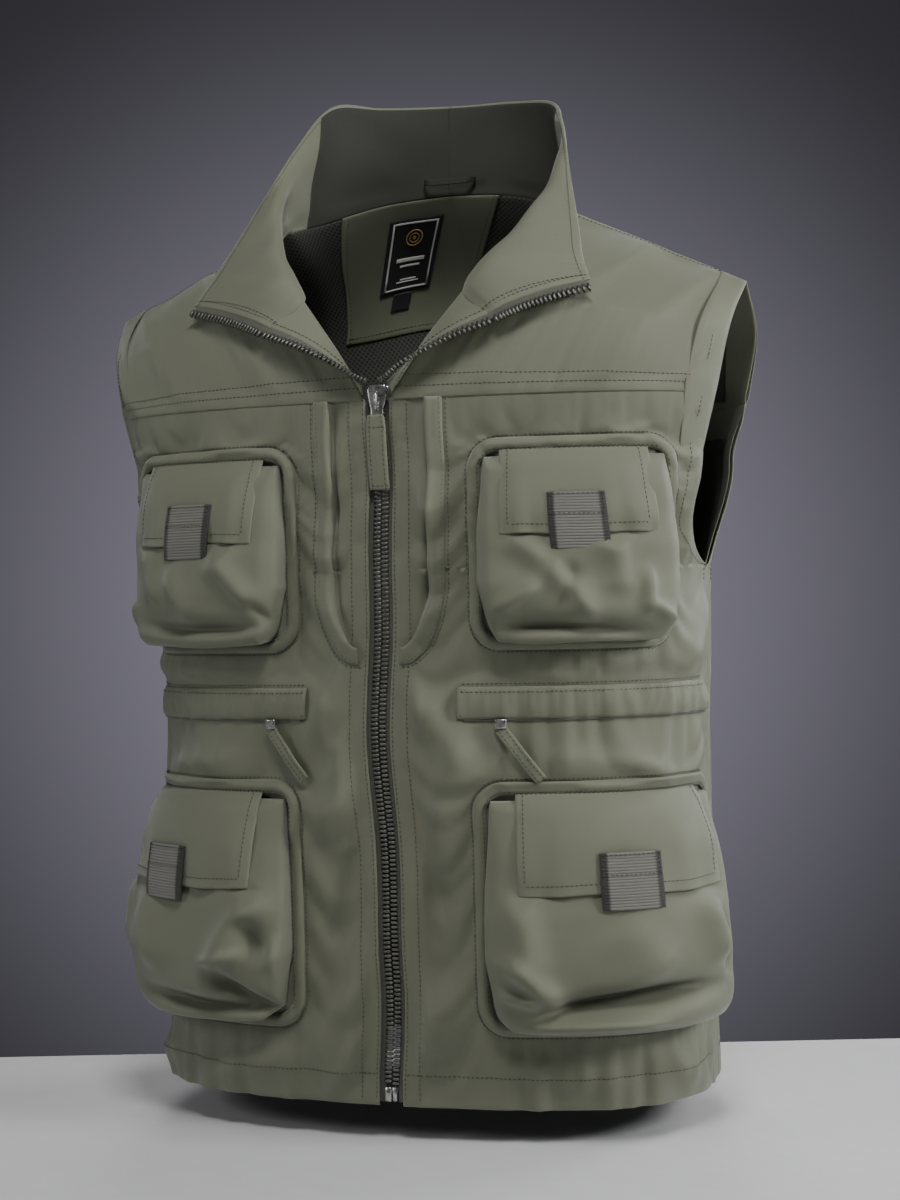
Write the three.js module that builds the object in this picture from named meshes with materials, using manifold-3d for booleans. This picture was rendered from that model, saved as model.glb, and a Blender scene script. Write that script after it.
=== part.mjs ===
// Fishing vest, XL, shown as worn with the collar turned out: millimetres, +Z up, the front faces -Y.
// Origin: the nape, where the collar meets the centre of the back. "left" is the wearer's left, +X.
import * as THREE from 'three';
import Module from 'manifold-3d';
import { mergeVertices } from 'three/addons/utils/BufferGeometryUtils.js';

// ---- Driving dimensions ----------------------------------------------------------------------
const HALF_WIDTH = 206;        // centre line to side seam, across the hem
const FRONT_DEPTH = 130;       // side seam plane to the front
const BACK_DEPTH = 118;        // side seam plane to the back
const YOKE_HEIGHT = 492;       // hem to yoke seam, where the slider also stops
const ARMHOLE_DROP = 120;      // yoke seam to the bottom of the armhole
const SHOULDER_RISE = 80;      // yoke seam to shoulder tip
const NECK_RISE = 144;         // yoke seam to the neck end of the shoulder seam
const NAPE_RISE = 178;         // yoke seam to the nape
const SHOULDER_HALF = 242;     // centre line to shoulder tip
const NECK_HALF = 108;         // centre line to the side of the neck
const COLLAR_HEIGHT = 70;
const SQUARENESS = 0.05;       // how far each section leans from an ellipse to a rounded box

const SHELL = 2.4;             // outer fabric with its seam allowances
const LINING = 1.0;
const LINING_LOW = 30;         // hem to the lining's lower edge
const FACING_WIDTH = 20;       // armhole facings
const BINDING = 2.0;           // piping and welts
const WEB = 1.8;               // webbing tabs and flaps
const TAPE = 1.0;              // zip tape
const TOUCH = 0.3;             // between sewn pieces that share an edge
const CLEAR = 1.2;             // between layers that lie on one another
const SHOULDER_GAP = 3;        // between the front and back yokes, whose sheets meet at an angle

const ZIP_HALF = 8.5;          // centre line to the edge of each front
const TEETH_WIDTH = 4.2;
const TEETH_THICK = 3.4;
const TAPE_WIDTH = 15;
const PULL_WIDTH = 15;
const PULL_LENGTH = 47;

const CHEST = { inner: 64, width: 145, height: 143, depth: 26, flapWidth: 101, flapDrop: 58 };
const LOWER = { inner: 64, width: 196, height: 172, depth: 28, flapWidth: 140, flapDrop: 66 };
const CHEST_BELOW_YOKE = 33;
const LOWER_ABOVE_HEM = 52;
const RING_WIDTH = 7;
const RING_CORNER = 21;
const TAB_WIDTH = 36;
const TAB_HEIGHT = 38;
const TAB_OVERHANG = 10;
const PATCH_WIDTH = 60;
const PATCH_HEIGHT = 18;

const WELT_HEIGHT = 20;        // waist pocket welts
const WELT_INNER = 55;
const WELT_LENGTH = 200;
const WELT_ABOVE_LOWER = 45;
const SLIT_HALF = 47;          // centre line to the inset slit pocket beside the zip
const SLIT_DROP = 172;
const SLIT_WIDTH = 12;

// ---- Derived places --------------------------------------------------------------------------
const SHELL_OUT = SHELL / 2;
const SHELL_IN = -SHELL / 2;
const TRIM_IN = SHELL_OUT + CLEAR;
const ARMHOLE_HEIGHT = YOKE_HEIGHT - ARMHOLE_DROP;
const SHOULDER_HEIGHT = YOKE_HEIGHT + SHOULDER_RISE;
const NECK_HEIGHT = YOKE_HEIGHT + NECK_RISE;
const NAPE_HEIGHT = YOKE_HEIGHT + NAPE_RISE;
const NAPE_DEPTH = BACK_DEPTH * 0.56;
const CHEST_TOP = YOKE_HEIGHT - CHEST_BELOW_YOKE;
const LOWER_TOP = LOWER_ABOVE_HEM + LOWER.height;
const WELT_LOW = LOWER_TOP + WELT_ABOVE_LOWER;
const ZIP_TOP = YOKE_HEIGHT - 2;
const ZIP_BOTTOM = 14;
const STEPS = 48;              // samples in one quarter of a section

// ---- Body surface ----------------------------------------------------------------------------
// Half width of the body at each height, as the side seam flares towards the armhole.
const widthStations = [
  [0, HALF_WIDTH],
  [0.49 * YOKE_HEIGHT, HALF_WIDTH - 3],
  [0.74 * YOKE_HEIGHT, HALF_WIDTH],
  [0.91 * YOKE_HEIGHT, HALF_WIDTH + 20],
  [YOKE_HEIGHT, HALF_WIDTH + 30],
];

function halfWidthAt(z) {
  const last = widthStations.length - 1;
  for (let i = 0; i < last; i += 1) {
    const [z0, w0] = widthStations[i];
    const [z1, w1] = widthStations[i + 1];
    if (z <= z1 || i === last - 1) {
      const t = THREE.MathUtils.clamp((z - z0) / (z1 - z0), 0, 1);
      return w0 + (w1 - w0) * t * t * (3 - 2 * t);
    }
  }
  return HALF_WIDTH;
}

// A section is an ellipse squared off by its third harmonic; angle 0 is centre front, PI centre back.
function sectionPoint(angle, z) {
  const depth = Math.cos(angle) > 0 ? FRONT_DEPTH : BACK_DEPTH;
  const x = halfWidthAt(z) * (Math.sin(angle) + SQUARENESS * Math.sin(3 * angle)) / (1 - SQUARENESS);
  const y = -depth * (Math.cos(angle) - SQUARENESS * Math.cos(3 * angle)) / (1 - SQUARENESS);
  return new THREE.Vector2(x, y);
}

// Quarter sections by arc length, from centre front (or centre back) to the side seam.
const quarterCache = new Map();
function quarterAt(face, z) {
  const key = `${face}${z.toFixed(3)}`;
  if (!quarterCache.has(key)) {
    const points = [];
    const lengths = [0];
    for (let i = 0; i <= STEPS; i += 1) {
      const turn = (i / STEPS) * (Math.PI / 2);
      points.push(sectionPoint(face === 'front' ? turn : Math.PI - turn, z));
      if (i > 0) lengths.push(lengths[i - 1] + points[i].distanceTo(points[i - 1]));
    }
    quarterCache.set(key, { points, lengths, total: lengths[STEPS] });
  }
  return quarterCache.get(key);
}

// Point on the body: u along the section from the centre line, z above the hem, d out of the surface.
function onBody(face, u, z, d) {
  const { points, lengths } = quarterAt(face, z);
  const length = Math.min(Math.abs(u), lengths[STEPS]);
  let i = 1;
  while (i < STEPS && lengths[i] < length) i += 1;
  const t = (length - lengths[i - 1]) / (lengths[i] - lengths[i - 1]);
  const at = points[i - 1].clone().lerp(points[i], t);
  const before = points[Math.max(0, i - 2)].clone().lerp(points[i - 1], t);
  const after = points[i].clone().lerp(points[Math.min(STEPS, i + 1)], t);
  if (i === 1) before.set(-after.x, after.y).lerp(points[0], t);
  const seamWay = new THREE.Vector2(0, face === 'front' ? 1 : -1);
  const along = i === STEPS ? seamWay : after.sub(before).normalize();
  const out = face === 'front' ? [along.y, -along.x] : [-along.y, along.x];
  const side = u < 0 ? -1 : 1;
  return new THREE.Vector3(side * (at.x + out[0] * d), at.y + out[1] * d, z);
}

// ---- Closed solids from grids ----------------------------------------------------------------
// A sheet of (columns+1) x (rows+1) points on each side, closed by walls round its edge. With
// `loop` the last column meets the first.
function sheetSolid(columns, rows, outer, inner, loop = false) {
  const across = loop ? columns : columns + 1;
  const down = rows + 1;
  const positions = [];
  for (const side of [outer, inner]) {
    for (let i = 0; i < across; i += 1) {
      for (let j = 0; j < down; j += 1) positions.push(...side(i / columns, j / rows, i, j).toArray());
    }
  }
  const half = across * down;
  const at = (i, j, side) => side * half + (i % across) * down + j;
  const faces = [];
  const quad = (a, b, c, d) => faces.push(a, b, c, a, c, d);
  for (let i = 0; i < columns; i += 1) {
    for (let j = 0; j < rows; j += 1) {
      quad(at(i, j, 0), at(i + 1, j, 0), at(i + 1, j + 1, 0), at(i, j + 1, 0));
      quad(at(i, j, 1), at(i, j + 1, 1), at(i + 1, j + 1, 1), at(i + 1, j, 1));
    }
    quad(at(i, 0, 1), at(i + 1, 0, 1), at(i + 1, 0, 0), at(i, 0, 0));
    quad(at(i, rows, 0), at(i + 1, rows, 0), at(i + 1, rows, 1), at(i, rows, 1));
  }
  for (let j = 0; j < rows && !loop; j += 1) {
    quad(at(0, j, 0), at(0, j + 1, 0), at(0, j + 1, 1), at(0, j, 1));
    quad(at(columns, j, 1), at(columns, j + 1, 1), at(columns, j + 1, 0), at(columns, j, 0));
  }
  return solidFrom(positions, faces);
}

// Turns the faces round if the enclosed volume comes out negative.
function solidFrom(positions, faces) {
  let volume = 0;
  const corner = (k) => new THREE.Vector3().fromArray(positions, faces[k] * 3);
  for (let k = 0; k < faces.length; k += 3) volume += corner(k).dot(corner(k + 1).cross(corner(k + 2)));
  const geometry = new THREE.BufferGeometry();
  geometry.setAttribute('position', new THREE.Float32BufferAttribute(positions, 3));
  geometry.setIndex(volume < 0 ? faces.slice().reverse() : faces);
  geometry.computeVertexNormals();
  return geometry;
}

// Sheet between two depths on the body. `edge(s, t)` gives u and z.
function bodySheet(face, columns, rows, edge, outside, inside, loop = false) {
  const place = (d) => (s, t) => {
    const [u, z] = edge(s, t);
    return onBody(face, u, z, d);
  };
  return sheetSolid(columns, rows, place(outside), place(inside), loop);
}

// Sheet with a thickness along its own normals, from a point function of s and t.
function freeSheet(columns, rows, point, thickness, shift = 0) {
  const step = 1e-3;
  const normalAt = (s, t) => {
    const s0 = Math.max(0, s - step);
    const s1 = Math.min(1, s + step);
    const t0 = Math.max(0, t - step);
    const t1 = Math.min(1, t + step);
    const alongS = point(s1, t).sub(point(s0, t));
    const alongT = point(s, t1).sub(point(s, t0));
    return alongS.cross(alongT).normalize();
  };
  const place = (d) => (s, t) => point(s, t).addScaledVector(normalAt(s, t), d);
  return sheetSolid(columns, rows, place(shift + thickness / 2), place(shift - thickness / 2));
}

const vec = (x, y, z) => new THREE.Vector3(x, y, z);
const spline = (points) => new THREE.CatmullRomCurve3(points, false, 'centripetal');

// ---- Key lines of the upper body, for the wearer's left ---------------------------------------
const armhole = { front: { deepest: 62, turn: 50 }, back: { deepest: 40, turn: 96 } };

// Inset of the armhole edge from the side seam: it turns in like a quarter ellipse.
function armholeInset(face, z) {
  const { deepest, turn } = armhole[face];
  const t = THREE.MathUtils.clamp((z - ARMHOLE_HEIGHT) / turn, 0, 1);
  return TOUCH + (deepest - TOUCH) * Math.sqrt(1 - (1 - t) * (1 - t));
}
const edgeLength = (face, z) => quarterAt(face, z).total - armholeInset(face, z);

const neckSide = vec(NECK_HALF, -12, NECK_HEIGHT);
const shoulderTip = vec(SHOULDER_HALF, -18, SHOULDER_HEIGHT);
const rollCorner = vec(60, -0.87 * FRONT_DEPTH, YOKE_HEIGHT + 74);
const zipCorner = vec(82, -0.98 * FRONT_DEPTH, YOKE_HEIGHT + 53);
const collarTip = vec(147, -0.8 * FRONT_DEPTH, YOKE_HEIGHT + 75);

const mirror = (point, side) => vec(point.x * side, point.y, point.z);

function frontArmholeCurve() {
  return spline([
    onBody('front', edgeLength('front', YOKE_HEIGHT), YOKE_HEIGHT, 0),
    vec(SHOULDER_HALF - 9, -52, YOKE_HEIGHT + 44),
    shoulderTip,
  ]);
}

function backArmholeCurve() {
  return spline([
    onBody('back', edgeLength('back', YOKE_HEIGHT), YOKE_HEIGHT, 0),
    vec(SHOULDER_HALF - 1, 28, YOKE_HEIGHT + 46),
    shoulderTip,
  ]);
}

// Neck seam from the roll of the lapel, past the shoulder, to the nape.
const neckFront = spline([
  rollCorner,
  vec(84, -84, YOKE_HEIGHT + 98),
  vec(103, -50, YOKE_HEIGHT + 122),
  neckSide,
]);
const neckBack = spline([
  neckSide,
  vec(97, 22, NAPE_HEIGHT - 24),
  vec(52, NAPE_DEPTH - 7, NAPE_HEIGHT - 5),
  vec(0, NAPE_DEPTH, NAPE_HEIGHT),
]);
const rollLine = spline([
  vec(ZIP_HALF + 1, -FRONT_DEPTH, YOKE_HEIGHT),
  vec(32, -0.95 * FRONT_DEPTH, YOKE_HEIGHT + 36),
  rollCorner,
]);
const zipLine = spline([
  vec(ZIP_HALF, -FRONT_DEPTH - 4, YOKE_HEIGHT + 6),
  vec(24, -FRONT_DEPTH - 8, YOKE_HEIGHT + 22),
  vec(52, -FRONT_DEPTH - 5, YOKE_HEIGHT + 40),
  zipCorner,
]);

// Bilinearly blended patch between four edges: bottom and top run with s, left and right with t.
function coons(bottom, top, left, right) {
  return (s, t) => {
    const p = vec(0, 0, 0);
    p.addScaledVector(bottom(s), 1 - t).addScaledVector(top(s), t);
    p.addScaledVector(left(t), 1 - s).addScaledVector(right(t), s);
    p.addScaledVector(bottom(0), -(1 - s) * (1 - t)).addScaledVector(bottom(1), -s * (1 - t));
    p.addScaledVector(top(0), -(1 - s) * t).addScaledVector(top(1), -s * t);
    return p;
  };
}

// ---- Materials -------------------------------------------------------------------------------
function finish(color, roughness, metalness = 0) {
  return new THREE.MeshStandardMaterial({ color, roughness, metalness });
}
const olive = finish(0x6f7263, 0.72);
const oliveDark = finish(0x5d5f50, 0.8);
const facingCloth = finish(0x2b2b27, 0.85);
const meshCloth = finish(0x3f413a, 0.9);
const tapeCloth = finish(0x55574a, 0.85);
const webbing = finish(0x61615d, 0.85);
const metal = finish(0x8f9088, 0.35, 0.9);
const labelCloth = finish(0x1c1b1d, 0.7);

const vest = new THREE.Group();
const place = (parent, name, geometry, material) => {
  const mesh = new THREE.Mesh(geometry, material);
  mesh.name = name;
  parent.add(mesh);
  return mesh;
};

const garment = new THREE.Group();
garment.position.set(0, -NAPE_DEPTH, -NAPE_HEIGHT);
vest.add(garment);
const sides = [['left', 1], ['right', -1]];

// ---- Back and yokes --------------------------------------------------------------------------
const panelRow = (t, top) => {
  const bottomShare = 0.5;
  return t < bottomShare
    ? (t / bottomShare) * ARMHOLE_HEIGHT
    : ARMHOLE_HEIGHT + ((t - bottomShare) / (1 - bottomShare)) ** 1.6 * (top - ARMHOLE_HEIGHT);
};

function backPanel(columns, rows, low, outside, inside, inset) {
  return bodySheet('back', columns, rows, (s, t) => {
    const z = Math.max(low, panelRow(t, YOKE_HEIGHT - inset));
    return [(2 * s - 1) * (edgeLength('back', z) - inset), z];
  }, outside, inside);
}

function backYokePoint(s, t) {
  const seamLength = edgeLength('back', YOKE_HEIGHT);
  const bottom = (q) => {
    const p = onBody('back', (2 * q - 1) * seamLength, YOKE_HEIGHT, 0);
    return p.setZ(YOKE_HEIGHT + TOUCH);
  };
  const neckShare = 0.42;
  const top = (q) => {
    const away = Math.abs(2 * q - 1);
    const at = away < neckShare
      ? neckBack.getPoint(1 - away / neckShare)
      : neckSide.clone().lerp(shoulderTip, (away - neckShare) / (1 - neckShare));
    return vec(Math.sign(2 * q - 1) * at.x, at.y + SHOULDER_GAP, at.z);
  };
  const arm = backArmholeCurve();
  const edge = (sign) => (q) => {
    const at = arm.getPoint(q);
    return vec(sign * at.x, at.y + SHOULDER_GAP * q, at.z + TOUCH * (1 - q));
  };
  const flat = coons(bottom, top, edge(-1), edge(1))(s, t);
  // The shoulder blades fill the patch out between its edges.
  const swell = 13 * Math.sin(Math.PI * t) * (1 - (2 * s - 1) ** 2);
  return flat.add(vec(0, swell, swell * 0.35));
}

function frontYokePoint(side) {
  const bottomEnd = edgeLength('front', YOKE_HEIGHT);
  const arm = frontArmholeCurve();
  const rollShare = 0.45;
  const bottom = (s) => {
    const u = ZIP_HALF + 1 + s * (bottomEnd - ZIP_HALF - 1);
    return onBody('front', u, YOKE_HEIGHT, 0).setZ(YOKE_HEIGHT + TOUCH);
  };
  const top = (s) => neckSide.clone().lerp(shoulderTip, s);
  const left = (t) => {
    if (t < rollShare) return rollLine.getPoint(t / rollShare);
    return neckFront.getPoint((t - rollShare) / (1 - rollShare));
  };
  const right = (t) => arm.getPoint(t);
  const patch = coons(bottom, top, left, right);
  return (s, t) => {
    const swell = 7 * Math.sin(Math.PI * t) * Math.sin(Math.PI * s);
    const p = patch(s, t);
    p.z = Math.max(p.z, YOKE_HEIGHT + TOUCH);
    p.y -= swell;
    return mirror(p, side);
  };
}

place(garment, 'back_panel', backPanel(24, 12, 0, SHELL_OUT, SHELL_IN, CLEAR), olive);
place(garment, 'back_yoke', freeSheet(26, 6, backYokePoint, SHELL), olive);
const liningOut = -(SHELL_OUT + 3 * CLEAR + LINING);
const liningIn = liningOut - LINING;
const liningInset = FACING_WIDTH + 5;
const backLining = backPanel(18, 7, LINING_LOW, liningOut, liningIn, liningInset);
place(garment, 'mesh_lining_back', backLining, meshCloth);
for (const [word, side] of sides) {
  place(garment, `front_yoke_${word}`, freeSheet(10, 8, frontYokePoint(side), SHELL), olive);
}

// ---- Collar ----------------------------------------------------------------------------------
// Seam and free edge from the left front corner round the nape to the right one. A quadratic
// curve between them rolls outwards over the control line, so that the fronts lie open.
const collarSeamHalf = [
  zipCorner,
  rollCorner,
  neckFront.getPoint(0.33),
  neckFront.getPoint(0.66),
  neckSide,
  neckBack.getPoint(0.33),
  neckBack.getPoint(0.66),
  neckBack.getPoint(1),
];
const collarRollHalf = [
  vec(106, -0.97 * FRONT_DEPTH, YOKE_HEIGHT + 66),
  vec(74, -0.95 * FRONT_DEPTH, YOKE_HEIGHT + 102),
  vec(74, -92, YOKE_HEIGHT + 126),
  vec(90, -54, YOKE_HEIGHT + 154),
  vec(102, -10, NECK_HEIGHT + 34),
  vec(94, 26, NAPE_HEIGHT + 12),
  vec(52, NAPE_DEPTH - 4, NAPE_HEIGHT + 30),
  vec(0, NAPE_DEPTH + 3, NAPE_HEIGHT + COLLAR_HEIGHT / 2),
];
const collarTopHalf = [
  collarTip,
  vec(140, -92, YOKE_HEIGHT + 92),
  vec(133, -72, YOKE_HEIGHT + 116),
  vec(120, -38, YOKE_HEIGHT + 160),
  vec(106, 0, NAPE_HEIGHT + COLLAR_HEIGHT - 40),
  vec(90, 38, NAPE_HEIGHT + COLLAR_HEIGHT - 13),
  vec(54, NAPE_DEPTH - 2, NAPE_HEIGHT + COLLAR_HEIGHT - 3),
  vec(0, NAPE_DEPTH + 6, NAPE_HEIGHT + COLLAR_HEIGHT),
];
const wholeNeck = (half) => spline([...half, ...half.slice(0, -1).reverse().map((p) => mirror(p, -1))]);
const SEAM_SHARE = 0.05;       // the part of the roll left free along the neck seam
const collarSeam = wholeNeck(collarSeamHalf);
const collarRoll = wholeNeck(collarRollHalf);
const collarTop = wholeNeck(collarTopHalf);

function collarPoint(s, t) {
  const lift = SEAM_SHARE + (1 - SEAM_SHARE) * t;
  const a = collarSeam.getPoint(s);
  const b = collarRoll.getPoint(s);
  const c = collarTop.getPoint(s);
  const p = a.multiplyScalar((1 - lift) ** 2);
  return p.addScaledVector(b, 2 * lift * (1 - lift)).addScaledVector(c, lift * lift);
}
place(garment, 'collar', freeSheet(42, 5, collarPoint, SHELL), olive);

// ---- Booleans --------------------------------------------------------------------------------
const wasm = await Module();
wasm.setup();

function toManifold(geometry) {
  const bare = geometry.index ? geometry.clone() : geometry;
  bare.deleteAttribute('normal');
  bare.deleteAttribute('uv');
  const merged = mergeVertices(bare);
  return new wasm.Manifold(new wasm.Mesh({
    numProp: 3,
    vertProperties: merged.attributes.position.array,
    triVerts: Uint32Array.from(merged.index.array),
  }));
}

function joined(first, ...others) {
  const solid = others.reduce((sum, part) => sum.add(toManifold(part)), toManifold(first));
  const { vertProperties, triVerts } = solid.getMesh();
  return solidFrom(Array.from(vertProperties), Array.from(triVerts));
}

// Box between two corners.
function boxBetween(low, high) {
  const size = new THREE.Vector3().subVectors(high, low);
  const centre = new THREE.Vector3().addVectors(high, low).multiplyScalar(0.5);
  return new THREE.BoxGeometry(size.x, size.y, size.z).translate(centre.x, centre.y, centre.z);
}

// ---- Lapels and the open part of the zip -----------------------------------------------------
// Stations along the free edge: the lapel from the slider up, then the front edge of the collar.
function openEdge(share) {
  const lapelShare = 0.55;
  if (share < lapelShare) {
    const t = share / lapelShare;
    const at = zipLine.getPoint(t);
    return { at, out: at.clone().sub(rollLine.getPoint(t)).normalize(), along: zipLine.getTangent(t) };
  }
  const t = (share - lapelShare) / (1 - lapelShare);
  const at = collarPoint(0, t);
  const before = collarPoint(0, Math.max(0, t - 0.01));
  const along = collarPoint(0, Math.min(1, t + 0.01)).sub(before).normalize();
  return { at, out: at.clone().sub(collarPoint(0.02, t)).normalize(), along };
}

// Strip beside the open edge, from `near` to `far` out of it.
function edgeStrip(side, near, far, thick, from, to) {
  const columns = 14;
  const face = (d) => (s, t) => {
    const { at, out, along } = openEdge(from + (to - from) * s);
    const normal = new THREE.Vector3().crossVectors(along, out).normalize();
    const flatOut = new THREE.Vector3().crossVectors(normal, along).normalize();
    return mirror(at.addScaledVector(flatOut, near + (far - near) * t).addScaledVector(normal, d), side);
  };
  return sheetSolid(columns, 1, face(thick / 2), face(-thick / 2));
}

const OPEN_TAPE = 4;           // tape that shows between the fabric edge and the teeth
for (const [word, side] of sides) {
  const lapelPoint = (s, t) => {
    const up = 0.04 + 0.9 * t;
    const roll = rollLine.getPoint(up);
    const free = zipLine.getPoint(up);
    const width = roll.distanceTo(free);
    const start = Math.min(3 * SHELL, width / 2);
    return mirror(roll.lerp(free, (start + s * (width - start)) / width), side);
  };
  place(garment, `lapel_${word}`, freeSheet(2, 6, lapelPoint, SHELL), olive);
  const tapeEnd = CLEAR + OPEN_TAPE;
  place(garment, `zip_tape_upper_${word}`, edgeStrip(side, CLEAR, tapeEnd, TAPE, 0.03, 0.97), tapeCloth);
  const teethFrom = tapeEnd + CLEAR;
  place(garment, `zip_teeth_upper_${word}`,
    edgeStrip(side, teethFrom, teethFrom + TEETH_WIDTH, TEETH_THICK, 0.03, 0.97), metal);
}

// ---- Neck facing, label and hanger loop ------------------------------------------------------
const part = (point, s0, s1, t0, t1) => (s, t) => point(s0 + (s1 - s0) * s, t0 + (t1 - t0) * t);
const facingShift = SHELL / 2 + 2 * CLEAR + LINING / 2;
const labelShift = facingShift + LINING + 1.5 * CLEAR;
place(garment, 'neck_facing', freeSheet(8, 6, part(backYokePoint, 0.39, 0.61, 0.38, 0.96), LINING,
  facingShift), facingCloth);
place(garment, 'neck_label', freeSheet(4, 4, part(backYokePoint, 0.452, 0.548, 0.56, 0.88), LINING,
  labelShift), labelCloth);
place(garment, 'size_tab', freeSheet(1, 1, part(backYokePoint, 0.482, 0.518, 0.45, 0.54), LINING,
  labelShift), labelCloth);

const LOOP_HALF = 22;
const LOOP_REACH = 9;
const LOOP_TAPE = 1.6;
const LOOP_HEIGHT = 5;
function hangerLoop() {
  const shape = new THREE.Shape();
  shape.moveTo(-LOOP_HALF, 0);
  shape.lineTo(-LOOP_HALF + LOOP_REACH * 0.6, -LOOP_REACH);
  shape.lineTo(LOOP_HALF - LOOP_REACH * 0.6, -LOOP_REACH);
  shape.lineTo(LOOP_HALF, 0);
  shape.lineTo(LOOP_HALF - LOOP_TAPE * 1.3, 0);
  shape.lineTo(LOOP_HALF - LOOP_REACH * 0.6 - LOOP_TAPE * 0.6, -LOOP_REACH + LOOP_TAPE);
  shape.lineTo(-LOOP_HALF + LOOP_REACH * 0.6 + LOOP_TAPE * 0.6, -LOOP_REACH + LOOP_TAPE);
  shape.lineTo(-LOOP_HALF + LOOP_TAPE * 1.3, 0);
  shape.closePath();
  return new THREE.ExtrudeGeometry(shape, { depth: LOOP_HEIGHT, bevelEnabled: false });
}
const loop = place(garment, 'hanger_loop', hangerLoop(), facingCloth);
loop.position.set(0, NAPE_DEPTH - SHELL - 2 * CLEAR, NAPE_HEIGHT + 6);

// ---- Armhole facings -------------------------------------------------------------------------
function surfaceNormal(point, s, t) {
  const step = 1e-3;
  const alongS = point(Math.min(1, s + step), t).sub(point(Math.max(0, s - step), t));
  const alongT = point(s, Math.min(1, t + step)).sub(point(s, Math.max(0, t - step)));
  return alongS.cross(alongT).normalize();
}

// Stations round the left armhole. Each gives the point a share of the facing's width in from the
// edge, and the way into the body there.
function armholeStations() {
  const stations = [];
  const onPanel = (face, angle) => {
    const { deepest, turn } = armhole[face];
    const slope = new THREE.Vector2(-turn * Math.sin(angle), -deepest * Math.cos(angle)).normalize();
    const at = (share, d) => {
      const z = ARMHOLE_HEIGHT + turn * (1 - Math.cos(angle)) + FACING_WIDTH * share * slope.y;
      const u = quarterAt(face, z).total - deepest * Math.sin(angle) + FACING_WIDTH * share * slope.x;
      return onBody(face, u, z, -d);
    };
    stations.push(at);
  };
  const onYoke = (point, reach, t, sign) => {
    stations.push((share, d) => {
      const s = 1 - reach * share;
      return point(s, t).addScaledVector(surfaceNormal(point, s, t), sign * d);
    });
  };
  const turns = [0, 0.2, 0.4, 0.65, 0.9, 1.2, Math.PI / 2];
  for (const angle of turns) onPanel('front', angle);
  const yoke = frontYokePoint(1);
  for (const t of [0.05, 0.25, 0.5, 0.75, 0.95]) onYoke(yoke, 0.14, t, -1);
  for (const t of [0.95, 0.75, 0.5, 0.25, 0.05]) onYoke(backYokePoint, 0.042, t, 1);
  for (const angle of turns.slice(1).reverse()) onPanel('back', angle);
  return stations;
}

function armholeFacing(side) {
  const stations = armholeStations();
  const near = SHELL / 2 + 2 * CLEAR;
  const rows = 2;
  const face = (d) => (s, t, i, j) => mirror(stations[i % stations.length](j / rows, d), side);
  return sheetSolid(stations.length, rows, face(near), face(near + LINING), true);
}
for (const [word, side] of sides) place(garment, `armhole_facing_${word}`, armholeFacing(side), oliveDark);

// ---- Pockets ---------------------------------------------------------------------------------
// Rounded rectangle as stations [u, z, outward u, outward z]; the sides are split so that the
// strip follows the body.
function roundedOutline(u0, u1, z0, z1, radius) {
  const corners = [
    [u1 - radius, z1 - radius, 0],
    [u0 + radius, z1 - radius, 1],
    [u0 + radius, z0 + radius, 2],
    [u1 - radius, z0 + radius, 3],
  ];
  const stations = [];
  const cornerSteps = 3;
  const sideSteps = [6, 3, 6, 3];
  corners.forEach(([cu, cz, quarter], k) => {
    for (let i = 0; i <= cornerSteps; i += 1) {
      const angle = (quarter + i / cornerSteps) * (Math.PI / 2);
      const out = [Math.cos(angle), Math.sin(angle)];
      stations.push([cu + radius * out[0], cz + radius * out[1], ...out]);
    }
    const last = stations[stations.length - 1];
    const [nu, nz] = corners[(k + 1) % 4];
    const next = [nu + radius * last[2], nz + radius * last[3]];
    for (let i = 1; i < sideSteps[k]; i += 1) {
      const t = i / sideSteps[k];
      const between = [0, 1].map((axis) => last[axis] + (next[axis] - last[axis]) * t);
      stations.push([...between, last[2], last[3]]);
    }
  });
  return stations;
}

function pocketRing(side, pocket, low) {
  const outer = pocket.inner + pocket.width;
  const outline = roundedOutline(pocket.inner, outer, low, low + pocket.height, RING_CORNER);
  const face = (d) => (s, t, i, j) => {
    const [u, z, nu, nz] = outline[i % outline.length];
    return onBody('front', side * (u - nu * RING_WIDTH * j), z - nz * RING_WIDTH * j, d);
  };
  return sheetSolid(outline.length, 1, face(TRIM_IN + BINDING), face(TRIM_IN), true);
}

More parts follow.
